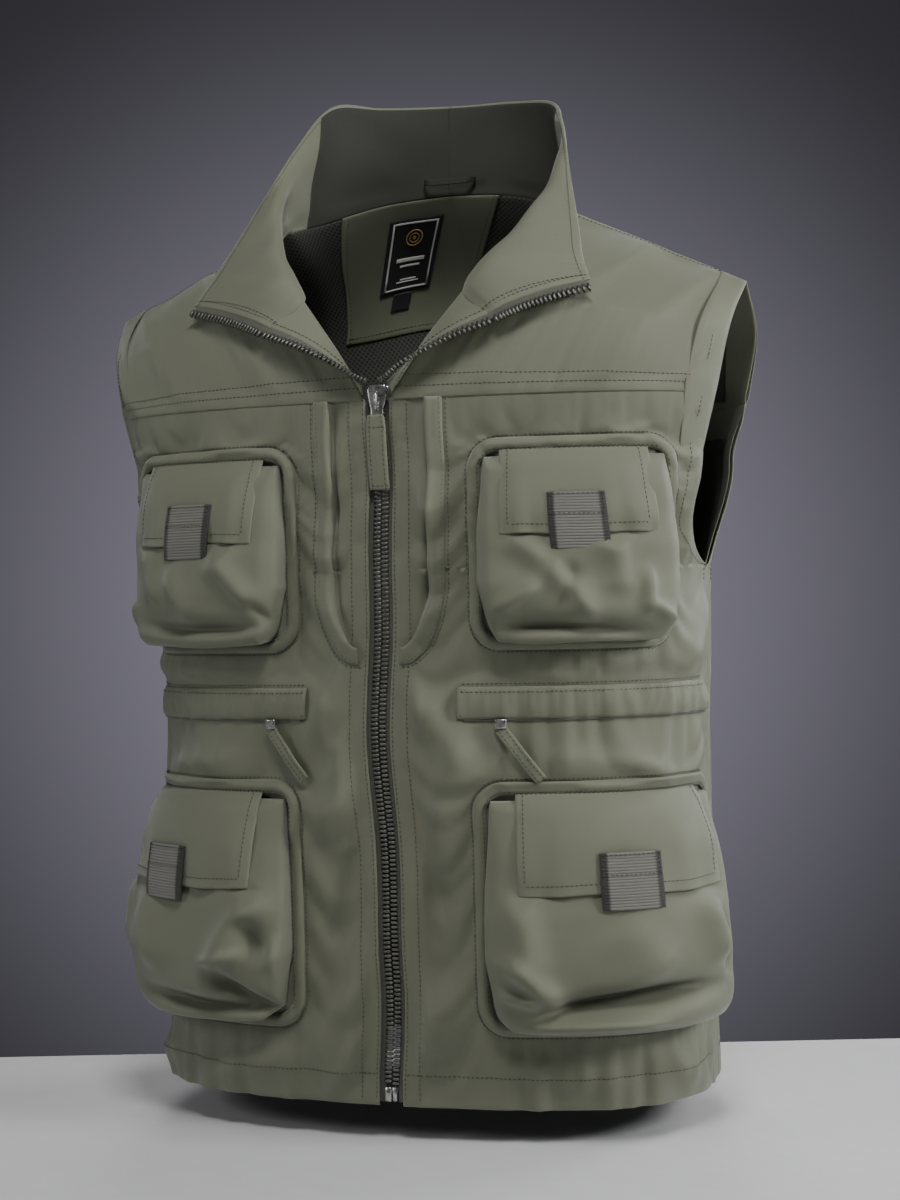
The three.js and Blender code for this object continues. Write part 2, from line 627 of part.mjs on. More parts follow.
// Open-topped tub: walls rise from the fabric and round over into the front.
const bagHalf = [[0, 0], [0, 0.7], [0.06, 0.95], [0.16, 1], [0.27, 1], [0.38, 1]];
const bagColumns = [...bagHalf, [0.5, 1], ...bagHalf.map(([share, depth]) => [1 - share, depth]).reverse()];
const bagRows = [[0, 0], [0, 0.72], [0.08, 0.97], [0.35, 1], [0.7, 0.9], [0.87, 0.72], [1, 0.5]];
const BAG_WALL = 1.6;
const BAG_CORNER = 6;          // cut of the lower corners inside the ring's curve
const BAG_SHOULDER = 4;        // the bag narrows towards its mouth, inside the ring's curve
const BAG_MOUTH = RING_WIDTH + 5; // mouth of the bag below the top of its ring, clear of the flap's hinge
function pocketBag(side, pocket, low) {
  const inset = RING_WIDTH + CLEAR;
  const u0 = pocket.inner + inset;
  const u1 = pocket.inner + pocket.width - inset;
  const z0 = low + inset;
  const z1 = low + pocket.height - BAG_MOUTH;
  const wall = (shrink) => (s, t, i, j) => {
    const [us, uDepth] = bagColumns[i];
    const [zs, zDepth] = bagRows[j];
    const share = uDepth * zDepth;
    const u = u0 + shrink + (u1 - u0 - 2 * shrink) * us;
    const z = z0 + shrink + (z1 - z0 - shrink) * zs;
    const nearSide = Math.max(0, Math.abs(2 * us - 1) - 0.8) / 0.2;
    const corner = BAG_CORNER * Math.max(0, 1 - zs / 0.3) * nearSide;
    const shoulder = BAG_SHOULDER * Math.max(0, zs - 0.6) / 0.4 * nearSide;
    const inward = (us < 0.5 ? 1 : -1) * (corner + shoulder);
    return onBody('front', side * (u + inward), z + corner, TRIM_IN + (pocket.depth - shrink) * share);
  };
  return sheetSolid(bagColumns.length - 1, bagRows.length - 1, wall(0), wall(BAG_WALL));
}

// Frame of a flat flap: x out of the fabric, y up, z along the flap, touching the body's bulge.
function flapFrame(side, pocket, top) {
  const centre = pocket.inner + pocket.width / 2;
  const at = (share) => onBody('front', side * (centre + pocket.flapWidth * (share - 0.5)), top, 0);
  const along = at(1).sub(at(0)).normalize();
  const out = vec(along.y, -along.x, 0);
  if (out.y > 0) out.negate();
  const samples = [0.2, 0.35, 0.5, 0.65, 0.8].map((share) => at(share).sub(at(0)).dot(out));
  const middle = at(0).add(at(1)).multiplyScalar(0.5);
  const frame = new THREE.Group();
  frame.position.copy(middle.addScaledVector(out, Math.max(...samples)));
  const up = vec(0, 0, 1);
  frame.setRotationFromMatrix(new THREE.Matrix4().makeBasis(out, up, out.clone().cross(up)));
  return frame;
}

const HINGE_OUT = 6;           // the flap's top edge, out of the fabric
function flapProfile(pocket, reach) {
  const bend = [
    [HINGE_OUT, 0],
    [0.5 * reach, -1],
    [0.78 * reach, -7],
    [0.94 * reach, -17],
    [reach, -30],
    [reach, -pocket.flapDrop],
  ];
  const inside = bend.map(([x, y], k) => {
    const [x0, y0] = bend[Math.max(0, k - 1)];
    const [x1, y1] = bend[Math.min(bend.length - 1, k + 1)];
    const run = Math.hypot(x1 - x0, y1 - y0);
    return [x + WEB * (y1 - y0) / run, y - WEB * (x1 - x0) / run];
  });
  const shape = new THREE.Shape();
  shape.moveTo(...bend[0]);
  for (const point of [...bend.slice(1), ...inside.reverse()]) shape.lineTo(...point);
  shape.closePath();
  return shape;
}

function pocketSet(front, word, side, name, pocket, low) {
  const ringTop = low + pocket.height;
  place(front, `${name}_binding_${word}`, pocketRing(side, pocket, low), olive);
  place(front, `${name}_bag_${word}`, pocketBag(side, pocket, low), olive);
  const frame = flapFrame(side, pocket, ringTop - RING_WIDTH - CLEAR);
  frame.position.z = ringTop - RING_WIDTH - CLEAR;
  front.add(frame);
  const reach = pocket.depth + TRIM_IN + BINDING + CLEAR + SHELL;
  const along = { depth: pocket.flapWidth, bevelEnabled: false };
  const flap = new THREE.ExtrudeGeometry(flapProfile(pocket, reach), along);
  place(frame, `${name}_flap_${word}`, flap, olive).position.z = -pocket.flapWidth / 2;
  const webBlock = new THREE.BoxGeometry(WEB, TAB_HEIGHT, TAB_WIDTH);
  const tab = place(frame, `${name}_tab_${word}`, webBlock, webbing);
  tab.position.set(reach + TOUCH + WEB / 2, -pocket.flapDrop - TAB_OVERHANG + TAB_HEIGHT / 2, 0);
  const patch = new THREE.BoxGeometry(LINING, PATCH_HEIGHT, PATCH_WIDTH);
  const hook = place(frame, `${name}_hook_patch_${word}`, patch, tapeCloth);
  hook.position.set(reach - WEB - TOUCH - LINING / 2, -pocket.flapDrop + PATCH_HEIGHT / 2 + 4, 0);
}

// ---- Fronts ----------------------------------------------------------------------------------
function slitWelt(side) {
  const straightTo = YOKE_HEIGHT - 0.7 * SLIT_DROP;
  const foot = ZIP_HALF + 8;
  const radiusU = SLIT_HALF - foot;
  const radiusZ = 0.3 * SLIT_DROP + 14;
  const stations = [
    [SLIT_HALF, YOKE_HEIGHT - CLEAR, 1, 0],
    [SLIT_HALF, (YOKE_HEIGHT + straightTo) / 2, 1, 0],
  ];
  const steps = 6;
  for (let i = 0; i <= steps; i += 1) {
    const angle = (i / steps) * (Math.PI / 2);
    const out = new THREE.Vector2(Math.cos(angle) * radiusZ, -Math.sin(angle) * radiusU).normalize();
    stations.push([foot + radiusU * Math.cos(angle), straightTo - radiusZ * Math.sin(angle), out.x, out.y]);
  }
  const face = (d) => (s, t, i, j) => {
    const [u, z, nu, nz] = stations[i];
    return onBody('front', side * (u - nu * SLIT_WIDTH * j), z - nz * SLIT_WIDTH * j, d);
  };
  return sheetSolid(stations.length - 1, 1, face(TRIM_IN + BINDING), face(TRIM_IN));
}

const WAIST_SLIDER_AT = 84;    // u of the closed waist slider
const WAIST_SLIDER = { width: 8, height: 6, thick: 2.5 };
const WAIST_PULL = { width: 8, length: 42 };
const PULL_LEAN = 0.64;        // both cloth pulls lean to the wearer's left as they hang
function waistPocket(front, word, side) {
  const welt = (s, t) => [side * (WELT_INNER + WELT_LENGTH * s), WELT_LOW + WELT_HEIGHT * t];
  place(front, `waist_welt_${word}`, bodySheet('front', 12, 1, welt, TRIM_IN + BINDING, TRIM_IN), olive);
  const zip = (s, t) => [side * (WELT_INNER + 5 + (WELT_LENGTH - 10) * s), WELT_LOW - TOUCH - 7 * (1 - t)];
  place(front, `waist_zip_${word}`, bodySheet('front', 12, 1, zip, TRIM_IN + LINING, TRIM_IN), tapeCloth);
  const depth = TRIM_IN + LINING + CLEAR;
  const half = WAIST_SLIDER.width / 2;
  const box = (s, t) => [
    side * (WAIST_SLIDER_AT - half + WAIST_SLIDER.width * s),
    WELT_LOW - CLEAR - WAIST_SLIDER.height * (1 - t),
  ];
  const block = bodySheet('front', 1, 1, box, depth + WAIST_SLIDER.thick, depth);
  place(front, `waist_slider_${word}`, block, metal);
  const pullTop = WELT_LOW - CLEAR - WAIST_SLIDER.height - CLEAR;
  const strap = (s, t) => {
    const down = WAIST_PULL.length * t;
    return [
      side * WAIST_SLIDER_AT + (s - 0.5) * WAIST_PULL.width + down * Math.sin(PULL_LEAN),
      pullTop - down * Math.cos(PULL_LEAN),
    ];
  };
  place(front, `waist_pull_${word}`, bodySheet('front', 1, 3, strap, depth + WEB, depth), olive);
}

for (const [word, side] of sides) {
  const front = new THREE.Group();
  garment.add(front);
  const panel = (s, t) => {
    const z = panelRow(t, YOKE_HEIGHT - CLEAR);
    return [side * (ZIP_HALF + s * (edgeLength('front', z) - ZIP_HALF)), z];
  };
  place(front, `front_panel_${word}`, bodySheet('front', 16, 10, panel, SHELL_OUT, SHELL_IN), olive);
  const liningFrom = ZIP_HALF + TAPE_WIDTH;
  const lining = (s, t) => {
    const z = LINING_LOW + (ARMHOLE_HEIGHT - FACING_WIDTH - CLEAR - LINING_LOW) * t;
    return [side * (liningFrom + s * (edgeLength('front', z) - 8 - liningFrom)), z];
  };
  place(front, `mesh_lining_${word}`, bodySheet('front', 10, 4, lining, liningOut, liningIn), meshCloth);
  place(front, `slit_welt_${word}`, slitWelt(side), olive);
  const tapeFrom = TOUCH + TEETH_WIDTH + TOUCH;
  const tapeOut = -(SHELL_OUT + CLEAR);
  const tape = (s, t) => [side * (tapeFrom + TAPE_WIDTH * s), 2 + (ZIP_TOP - 2) * t];
  place(front, `zip_tape_${word}`, bodySheet('front', 2, 4, tape, tapeOut, tapeOut - TAPE), tapeCloth);
  const teeth = (s, t) => [side * (TOUCH + TEETH_WIDTH * s), ZIP_BOTTOM + (ZIP_TOP - ZIP_BOTTOM) * t];
  const teethOut = tapeOut - TAPE / 2 + TEETH_THICK / 2;
  const row = bodySheet('front', 1, 4, teeth, teethOut, teethOut - TEETH_THICK);
  place(front, `zip_teeth_${word}`, row, metal);
  pocketSet(front, word, side, 'chest', CHEST, CHEST_TOP - CHEST.height);
  pocketSet(front, word, side, 'lower', LOWER, LOWER_ABOVE_HEM);
  waistPocket(front, word, side);
}

// ---- Retaining box, pin and main slider ------------------------------------------------------
const tapeMiddle = -(FRONT_DEPTH - SHELL_OUT - CLEAR - TAPE / 2);
const endBlock = (x0, x1, thick) => boxBetween(
  vec(x0, tapeMiddle - thick / 2, 2), vec(x1, tapeMiddle + thick / 2, ZIP_BOTTOM - CLEAR));
place(garment, 'zip_pin_left', endBlock(TOUCH, TEETH_WIDTH, TEETH_THICK), metal);
place(garment, 'zip_box_right', endBlock(-TEETH_WIDTH, -TOUCH, TEETH_THICK + 1), metal);

const SLIDER_HALF = ZIP_HALF - 1;
const SLIDER_LOW = YOKE_HEIGHT - 18;
const SLIDER_HIGH = YOKE_HEIGHT + 8;
const SLIDER_PLATE = 1.6;
const SLIDER_PLAY = 1;
function mainSlider() {
  const front = tapeMiddle - TEETH_THICK / 2 - SLIDER_PLAY;
  const back = tapeMiddle + TEETH_THICK / 2 + SLIDER_PLAY;
  const plate = (from, to) => boxBetween(
    vec(-SLIDER_HALF, from, SLIDER_LOW),
    vec(SLIDER_HALF, to, SLIDER_HIGH));
  const frontPlate = plate(front - SLIDER_PLATE, front);
  const backPlate = plate(back, back + SLIDER_PLATE);
  // The post stands on the left of the centre line, so that the right chain passes it.
  const [postFrom, postWidth, postHeight] = [0.05, 1.3, 3];
  const post = boxBetween(
    vec(postFrom, front - SLIDER_PLATE / 2, SLIDER_HIGH - postHeight),
    vec(postFrom + postWidth, back + SLIDER_PLATE / 2, SLIDER_HIGH));
  const bridge = boxBetween(
    vec(-2, front - SLIDER_PLATE - 2, SLIDER_LOW + 8),
    vec(2, front - SLIDER_PLATE / 2, SLIDER_HIGH - 4));
  return joined(frontPlate, backPlate, post, bridge);
}
place(garment, 'main_slider', mainSlider(), metal);
const pullOut = tapeMiddle - TEETH_THICK / 2 - SLIDER_PLAY - SLIDER_PLATE - CLEAR - WEB / 2;
place(garment, 'main_pull', boxBetween(
  vec(-PULL_WIDTH / 2, pullOut - WEB / 2, SLIDER_LOW - PULL_LENGTH),
  vec(PULL_WIDTH / 2, pullOut + WEB / 2, SLIDER_LOW + 6)), olive);

export default vest;
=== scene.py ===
"""Fishing vest: cloth, pockets, zips, stitching and studio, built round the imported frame."""
import math

import bmesh
import bpy
import numpy as np
from bpy.props import FloatProperty, FloatVectorProperty, PointerProperty
from mathutils import Matrix, Vector


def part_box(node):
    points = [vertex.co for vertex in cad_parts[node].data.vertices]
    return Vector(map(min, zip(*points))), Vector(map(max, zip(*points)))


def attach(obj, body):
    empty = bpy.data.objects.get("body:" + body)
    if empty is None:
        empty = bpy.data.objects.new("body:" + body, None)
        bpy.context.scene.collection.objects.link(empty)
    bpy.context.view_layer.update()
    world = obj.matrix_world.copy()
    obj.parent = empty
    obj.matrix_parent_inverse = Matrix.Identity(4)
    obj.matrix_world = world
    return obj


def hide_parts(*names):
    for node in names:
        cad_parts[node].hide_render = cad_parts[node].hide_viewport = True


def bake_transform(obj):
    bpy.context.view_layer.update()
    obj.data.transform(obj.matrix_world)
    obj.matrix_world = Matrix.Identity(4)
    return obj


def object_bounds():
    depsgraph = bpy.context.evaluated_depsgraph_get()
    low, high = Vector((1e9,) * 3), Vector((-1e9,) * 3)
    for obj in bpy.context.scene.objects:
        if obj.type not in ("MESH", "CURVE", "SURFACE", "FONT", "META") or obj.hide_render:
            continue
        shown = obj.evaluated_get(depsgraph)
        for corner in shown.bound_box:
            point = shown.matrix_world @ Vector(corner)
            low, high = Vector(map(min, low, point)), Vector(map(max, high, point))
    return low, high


bl_info = {
    "name": "Fishing vest",
    "version": (1, 0, 0),
    "blender": (4, 5, 0),
    "location": "View3D > Sidebar > Vest",
    "description": "Builds a fishing vest of cloth, pockets, zips and stitching on its packed frame",
    "category": "Object",
}

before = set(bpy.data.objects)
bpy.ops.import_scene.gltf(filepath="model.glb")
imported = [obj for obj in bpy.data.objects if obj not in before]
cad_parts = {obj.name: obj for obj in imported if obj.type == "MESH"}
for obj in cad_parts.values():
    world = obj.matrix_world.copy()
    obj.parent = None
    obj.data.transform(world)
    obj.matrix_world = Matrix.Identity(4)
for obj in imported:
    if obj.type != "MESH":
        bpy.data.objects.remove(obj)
CAD_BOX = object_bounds()

# ---- Sizes in millimetres, hem at height 0, side seam plane at depth 0 -----------------------
NAPE = np.array((0.0, 66.08, 670.0))     # the origin of the frame
FRONT_DEPTH, BACK_DEPTH = 130.0, 118.0
YOKE = 492.0
ARMHOLE = 372.0
SQUARENESS = 0.05
WIDTHS = ((0, 206), (241, 203), (364, 206), (447.7, 226), (492, 236))
ARMHOLE_TURN = {"front": (62.0, 50.0), "back": (40.0, 96.0)}
ZIP_HALF = 8.5
NECK_HALF, SHOULDER_HALF = 108.0, 242.0
CHEST = dict(inner=64, width=145, height=143, depth=26, low=316, flap=101, drop=58, reach=34)
LOWER = dict(inner=64, width=196, height=172, depth=28, low=52, flap=140, drop=66, reach=36)
RING_WIDTH, RING_CORNER = 7.0, 21.0
RING_SHOWN = 9.0
BAG_MOUTH = 12.0
BAG_GRID = 88
TAB_WIDTH, TAB_HEIGHT, TAB_OVERHANG, TAB_RIBS = 36.0, 38.0, 10.0, 19
WELT_LOW, WELT_HEIGHT, WELT_INNER, WELT_LENGTH = 269.0, 20.0, 55.0, 200.0
SLIT_HALF, SLIT_DROP, SLIT_WIDTH = 47.0, 172.0, 12.0
SLIT_BEND = YOKE - 0.7 * SLIT_DROP       # here the slit pocket's edge starts to turn in to the zip
SLIT_TURN = 0.3 * SLIT_DROP + 14         # height over which it turns in
SLIT_FOOT = ZIP_HALF + 8                 # and how near to the middle it ends
SLIT_GAPE, SLIT_STEP = 14.0, 3.0         # depths of the mouth's slot and of the cloth beside it
HEM_STITCH = 22.0
LINING_BEHIND, LINING_THICK = 5.0, 0.7
TAPE_THICK = 0.9
SEAM_CLEAR, SEAM_FADE = 17, 12           # folds start this far from the zip, over this width
SIDES = (("left", 1.0), ("right", -1.0))


class VestCloth(bpy.types.PropertyGroup):
    """Cloth thickness and how much it folds."""

    thickness: FloatProperty(name="Thickness", description="Outer cloth with its seams, in mm",
                             default=1.3, min=0.4, max=2.4)
    folds: FloatProperty(name="Folds", description="Strength of the broad folds", default=1.0, min=0, max=2)
    puckers: FloatProperty(name="Puckers", description="Strength of the puckers along seams",
                           default=0.6, min=0, max=2)
    slack: FloatProperty(name="Pocket slack", description="Extra cloth in each pocket bag",
                         default=0.12, min=0, max=0.2)
    panel_slack: FloatProperty(name="Panel slack", description="Extra cloth in each front",
                               default=0.02, min=0, max=0.1)


class VestTrim(bpy.types.PropertyGroup):
    """Stitching and zip sizes."""

    stitch_pitch: FloatProperty(name="Stitch pitch", description="From stitch to stitch, in mm",
                                default=3.3, min=2, max=6)
    stitch_width: FloatProperty(name="Thread width", description="Width of the thread, in mm",
                                default=0.75, min=0.2, max=1.2)
    tooth_pitch: FloatProperty(name="Tooth pitch", description="From tooth to tooth on one chain, in mm",
                               default=3.1, min=2, max=5)


class VestColours(bpy.types.PropertyGroup):
    """Colours of the finishes."""

    cloth: FloatVectorProperty(name="Cloth", description="Olive outer cloth", subtype="COLOR",
                               size=3, default=(0.128, 0.137, 0.090))
    # Thread much darker than the cloth: partly its own colour, partly painted shade of the holes the stitches
    # sink into.
    thread: FloatVectorProperty(name="Thread", description="Sewing thread", subtype="COLOR",
                                size=3, default=(0.050, 0.053, 0.036))
    webbing: FloatVectorProperty(name="Webbing", description="Ribbed pocket tabs", subtype="COLOR",
                                 size=3, default=(0.105, 0.105, 0.090))
    tape: FloatVectorProperty(name="Zip tape", description="Woven zip tape", subtype="COLOR",
                              size=3, default=(0.075, 0.078, 0.060))
    metal: FloatVectorProperty(name="Zip metal", description="Zip teeth", subtype="COLOR",
                               size=3, default=(0.33, 0.33, 0.29))
    lining: FloatVectorProperty(name="Lining", description="Mesh lining", subtype="COLOR",
                                size=3, default=(0.055, 0.056, 0.047))


# ---- Body surface ----------------------------------------------------------------------------
def half_width(z):
    """Half width at height z: smooth steps between the stations."""
    out = np.full(np.shape(z), float(WIDTHS[0][1]))
    for (z0, w0), (z1, w1) in zip(WIDTHS, WIDTHS[1:]):
        t = np.clip((z - z0) / (z1 - z0), 0, 1)
        out = np.where(z >= z0, w0 + (w1 - w0) * t * t * (3 - 2 * t), out)
    return out


def section(face, angle, z):
    """Point and outward normal of a section: an ellipse squared off by its third harmonic."""
    sign, depth = (1, FRONT_DEPTH) if face == "front" else (-1, BACK_DEPTH)
    q = SQUARENESS
    wide = half_width(z) / (1 - q)
    deep = sign * depth / (1 - q)
    x = wide * (np.sin(angle) + q * np.sin(3 * angle))
    y = -deep * (np.cos(angle) - q * np.cos(3 * angle))
    dx = wide * (np.cos(angle) + 3 * q * np.cos(3 * angle))
    dy = deep * (np.sin(angle) - 3 * q * np.sin(3 * angle))
    run = np.hypot(dx, dy)
    return x, y, sign * dy / run, -sign * dx / run


TABLE_Z = np.linspace(0, YOKE, 62)
SHARES = np.linspace(0, 1, 129)


def arc_table(face):
    """Angle by share of the quarter's arc length at each table height, and the quarter's length."""
    angle = np.linspace(0, math.pi / 2, 361)
    x, y, _, _ = section(face, angle[None, :], TABLE_Z[:, None])
    step = np.hypot(np.diff(x, axis=1), np.diff(y, axis=1))
    length = np.concatenate([np.zeros((len(TABLE_Z), 1)), np.cumsum(step, axis=1)], axis=1)
    total = length[:, -1]
    rows = [np.interp(SHARES * total[k], length[k], angle) for k in range(len(TABLE_Z))]
    return np.array(rows), total


ARC = {face: arc_table(face) for face in ("front", "back")}


def quarter_length(face, z):
    """Arc length from the centre line to the side seam at height z."""
    return np.interp(z, TABLE_Z, ARC[face][1])


def on_body(face, u, z, d):
    """Point at arc length u from the centre line, height z and d out along the section's normal."""
    u, z, d = np.broadcast_arrays(np.asarray(u, float), np.asarray(z, float), np.asarray(d, float))
    at_z = np.clip(z, 0, YOKE)
    share = np.clip(np.abs(u) / quarter_length(face, at_z), 0, 1) * (len(SHARES) - 1)
    level = at_z / YOKE * (len(TABLE_Z) - 1)
    i = np.minimum(share.astype(int), len(SHARES) - 2)
    k = np.minimum(level.astype(int), len(TABLE_Z) - 2)
    past_i, past_k = share - i, level - k
    table = ARC[face][0]
    low = table[k, i] * (1 - past_i) + table[k, i + 1] * past_i
    high = table[k + 1, i] * (1 - past_i) + table[k + 1, i + 1] * past_i
    x, y, nx, ny = section(face, low * (1 - past_k) + high * past_k, at_z)
    sign = np.where(u < 0, -1.0, 1.0)
    return np.stack([sign * (x + nx * d), y + ny * d, z], axis=-1)


def armhole_inset(face, z):
    """Inset of the armhole's edge from the side seam: it turns in like a quarter ellipse."""
    deepest, turn = ARMHOLE_TURN[face]
    t = np.clip((z - ARMHOLE) / turn, 0, 1)
    return 0.3 + (deepest - 0.3) * np.sqrt(1 - (1 - t) ** 2)


def edge_length(face, z):
    """Arc length from the centre line to the panel's own edge at height z."""
    return quarter_length(face, z) - armhole_inset(face, z)


# ---- Folds -----------------------------------------------------------------------------------
# Each stroke: from (u, z) to (u, z), half width across it and height, in mm.
STROKES = {
    "left": (
        (16, 168, 58, 262, 13, 4.6), (8, 318, 74, 226, 12, 3.6), (52, 78, 10, 4, 14, 4.4),
        (66, 42, 178, 18, 10, 3.0), (214, 300, 262, 356, 11, 3.4), (96, 300, 214, 313, 8, 2.6),
        (26, 470, 40, 372, 8, 2.6), (222, 372, 236, 468, 10, 3.2), (20, 226, 52, 96, 11, -4.4),
        (110, 247, 214, 233, 8, 2.4), (12, 112, 46, 26, 9, 3.0), (228, 236, 262, 292, 10, 2.8),
        (186, 40, 256, 8, 11, 3.4), (56, 306, 66, 420, 8, -2.6),
    ),
    "right": (
        (12, 262, 66, 176, 15, 5.2), (14, 196, 58, 96, 14, -4.8), (8, 128, 60, 30, 13, 4.4),
        (60, 40, 166, 14, 11, 3.2), (20, 330, 62, 248, 10, 3.4), (88, 302, 206, 311, 8, 2.6),
        (24, 476, 38, 380, 8, 2.8), (214, 296, 258, 346, 11, 3.2), (222, 380, 238, 470, 10, 3.0),
        (104, 246, 206, 234, 8, 2.6), (10, 66, 52, 4, 9, 3.0), (178, 36, 250, 10, 11, 3.4),
        (58, 300, 64, 416, 8, -2.4),
    ),
    "back": (
        (-150, 430, 30, 330, 26, 5.0), (150, 420, -20, 300, 26, 4.6), (-190, 250, -60, 180, 20, 4.2),
        (190, 262, 70, 168, 20, 4.4), (-120, 120, 40, 60, 22, 3.8), (130, 110, 10, 44, 20, -3.8),
        (-40, 470, -30, 220, 24, -3.6), (60, 470, 40, 240, 22, 3.4), (-230, 330, -170, 230, 16, 3.6),
        (230, 330, 176, 236, 16, 3.6), (-200, 60, -90, 16, 18, 3.4), (200, 50, 80, 14, 18, 3.4),
    ),
}


FRONT_FOLDS = 1.35                       # the fronts' folds stand this much prouder than listed


def strokes_at(strokes, u, z):
    """Sum of folds: across each stroke a Gaussian leant to one side, fading at its ends."""
    total = np.zeros(np.broadcast(u, z).shape)
    for u0, z0, u1, z1, width, height in strokes:
        run = math.hypot(u1 - u0, z1 - z0)
        au, az = (u1 - u0) / run, (z1 - z0) / run
        along = ((u - u0) * au + (z - z0) * az) / run
        bow = 0.12 * run * (along - 0.5) ** 2
        across = ((u - u0) * -az + (z - z0) * au + bow) / width
        fade = np.exp(-((along - 0.5) / 0.42) ** 4)
        lean = 1 - 0.75 * np.tanh(1.4 * across)
        total += height * fade * lean * np.exp(-0.5 * across ** 2)
    return total


def ripple(seed, a, b, scale):
    """Smooth unevenness: a seeded sum of plane waves about `scale` long."""
    rng = np.random.default_rng(seed)
    total = np.zeros(np.broadcast(a, b).shape)
    for _ in range(9):
        turn, phase = rng.uniform(0, math.pi), rng.uniform(0, 2 * math.pi)
        length = scale * rng.uniform(0.7, 1.6)
        total += np.sin(2 * math.pi * (a * math.cos(turn) + b * math.sin(turn)) / length + phase)
    return total / 4.5


def pucker(seed, along, away, reach=14.0):
    """Puckers across a seam: short waves along it that die out `reach` away from it."""
    waves = ripple(seed, along, along * 0.3, 11.0) + 0.6 * ripple(seed + 7, along, 0.0, 21.0)
    return waves * np.exp(-np.abs(away) / reach)


def near_ring(u, z, pocket):
    """Distance from the middle of a pocket's ring."""
    half_u, half_z = pocket["width"] / 2, pocket["height"] / 2
    corner = RING_CORNER
    du = np.abs(u - pocket["inner"] - half_u) - (half_u - corner)
    dz = np.abs(z - pocket["low"] - half_z) - (half_z - corner)
    outside = np.hypot(np.maximum(du, 0), np.maximum(dz, 0))
    return np.abs(outside + np.minimum(np.maximum(du, dz), 0) - corner + RING_WIDTH / 2)


PANEL_U = np.linspace(ZIP_HALF, 266, 84)
PANEL_Z = np.linspace(0, YOKE, 150)
slack_fields = {}


def slack_field(word):
    """Rise of a front's slack cloth over its (u, z) grid, held at its seams, pockets and welts."""
    if word not in slack_fields:
        u, z = np.meshgrid(PANEL_U, PANEL_Z, indexing="ij")
        seed = 160 if word == "left" else 170
        rise = 2.0 * ripple(seed, u, z, 110.0) + 0.5 * ripple(seed + 1, u, z, 45.0)
        held = border_of(u.shape)
        held[1:-1, 0] = False
        for pocket in (CHEST, LOWER):
            held |= near_ring(u, z, pocket) < 3.2
        on_welt = (u > WELT_INNER) & (u < WELT_INNER + WELT_LENGTH)
        held |= (np.abs(z - WELT_LOW - WELT_HEIGHT - 3) < 2.0) & on_welt
        held |= u > edge_length("front", z) - 2
        flat = np.stack([u, z, np.where(held, 0, rise)], axis=-1)
        cloth = bpy.context.scene.vest_cloth
        done = hung(flat, held, cloth.panel_slack, 0.05, 3.0, 36, f"panel_{word}")
        slack_fields[word] = np.clip(done[..., 2], -3.0, 12.0)
    return slack_fields[word]


def slack_rise(word, u, z):
    """Bilinear reading of a front's slack field."""
    field = slack_field(word)
    fu = np.clip((u - PANEL_U[0]) / (PANEL_U[-1] - PANEL_U[0]), 0, 1) * (len(PANEL_U) - 1)
    fz = np.clip(z / YOKE, 0, 1) * (len(PANEL_Z) - 1)
    i = np.minimum(fu.astype(int), len(PANEL_U) - 2)
    k = np.minimum(fz.astype(int), len(PANEL_Z) - 2)
    a, b = fu - i, fz - k
    low = field[i, k] * (1 - a) + field[i + 1, k] * a
    high = field[i, k + 1] * (1 - a) + field[i + 1, k + 1] * a
    return low * (1 - b) + high * b


def slit_recess(u, z):
    """The slit pocket's mouth lies lower than the welt beside it, and gapes into a dark slot."""
    away = np.abs(u)
    bow = np.sqrt(np.clip(1 - (np.clip(SLIT_BEND - z, 0, SLIT_TURN) / SLIT_TURN) ** 2, 0, 1))
    edge = SLIT_FOOT + (SLIT_HALF - SLIT_FOOT) * bow - SLIT_WIDTH + 2
    inside = np.clip((edge - away) / 4, 0, 1) * np.clip((away - 20) / 5, 0, 1)
    ends = np.clip((z - SLIT_BEND + SLIT_TURN - 14) / 20, 0, 1) * np.clip((YOKE + 2 - z) / 8, 0, 1)
    down = np.clip((YOKE - 6 - z) / (0.95 * SLIT_DROP), 0, 1)
    wide = np.sin(math.pi * down) ** 0.5
    narrow = np.clip(np.sin(math.pi * (2 * down - 0.95)), 0, 1)
    gape = np.where(u < 0, wide, narrow) * (0.75 + 0.25 * np.sin(down * 17)) * (down < 1)
    slot = gape * np.exp(-((away - edge + 2.8) / (1.8 + 1.8 * gape)) ** 2)
    return -SLIT_STEP * inside * ends - SLIT_GAPE * slot


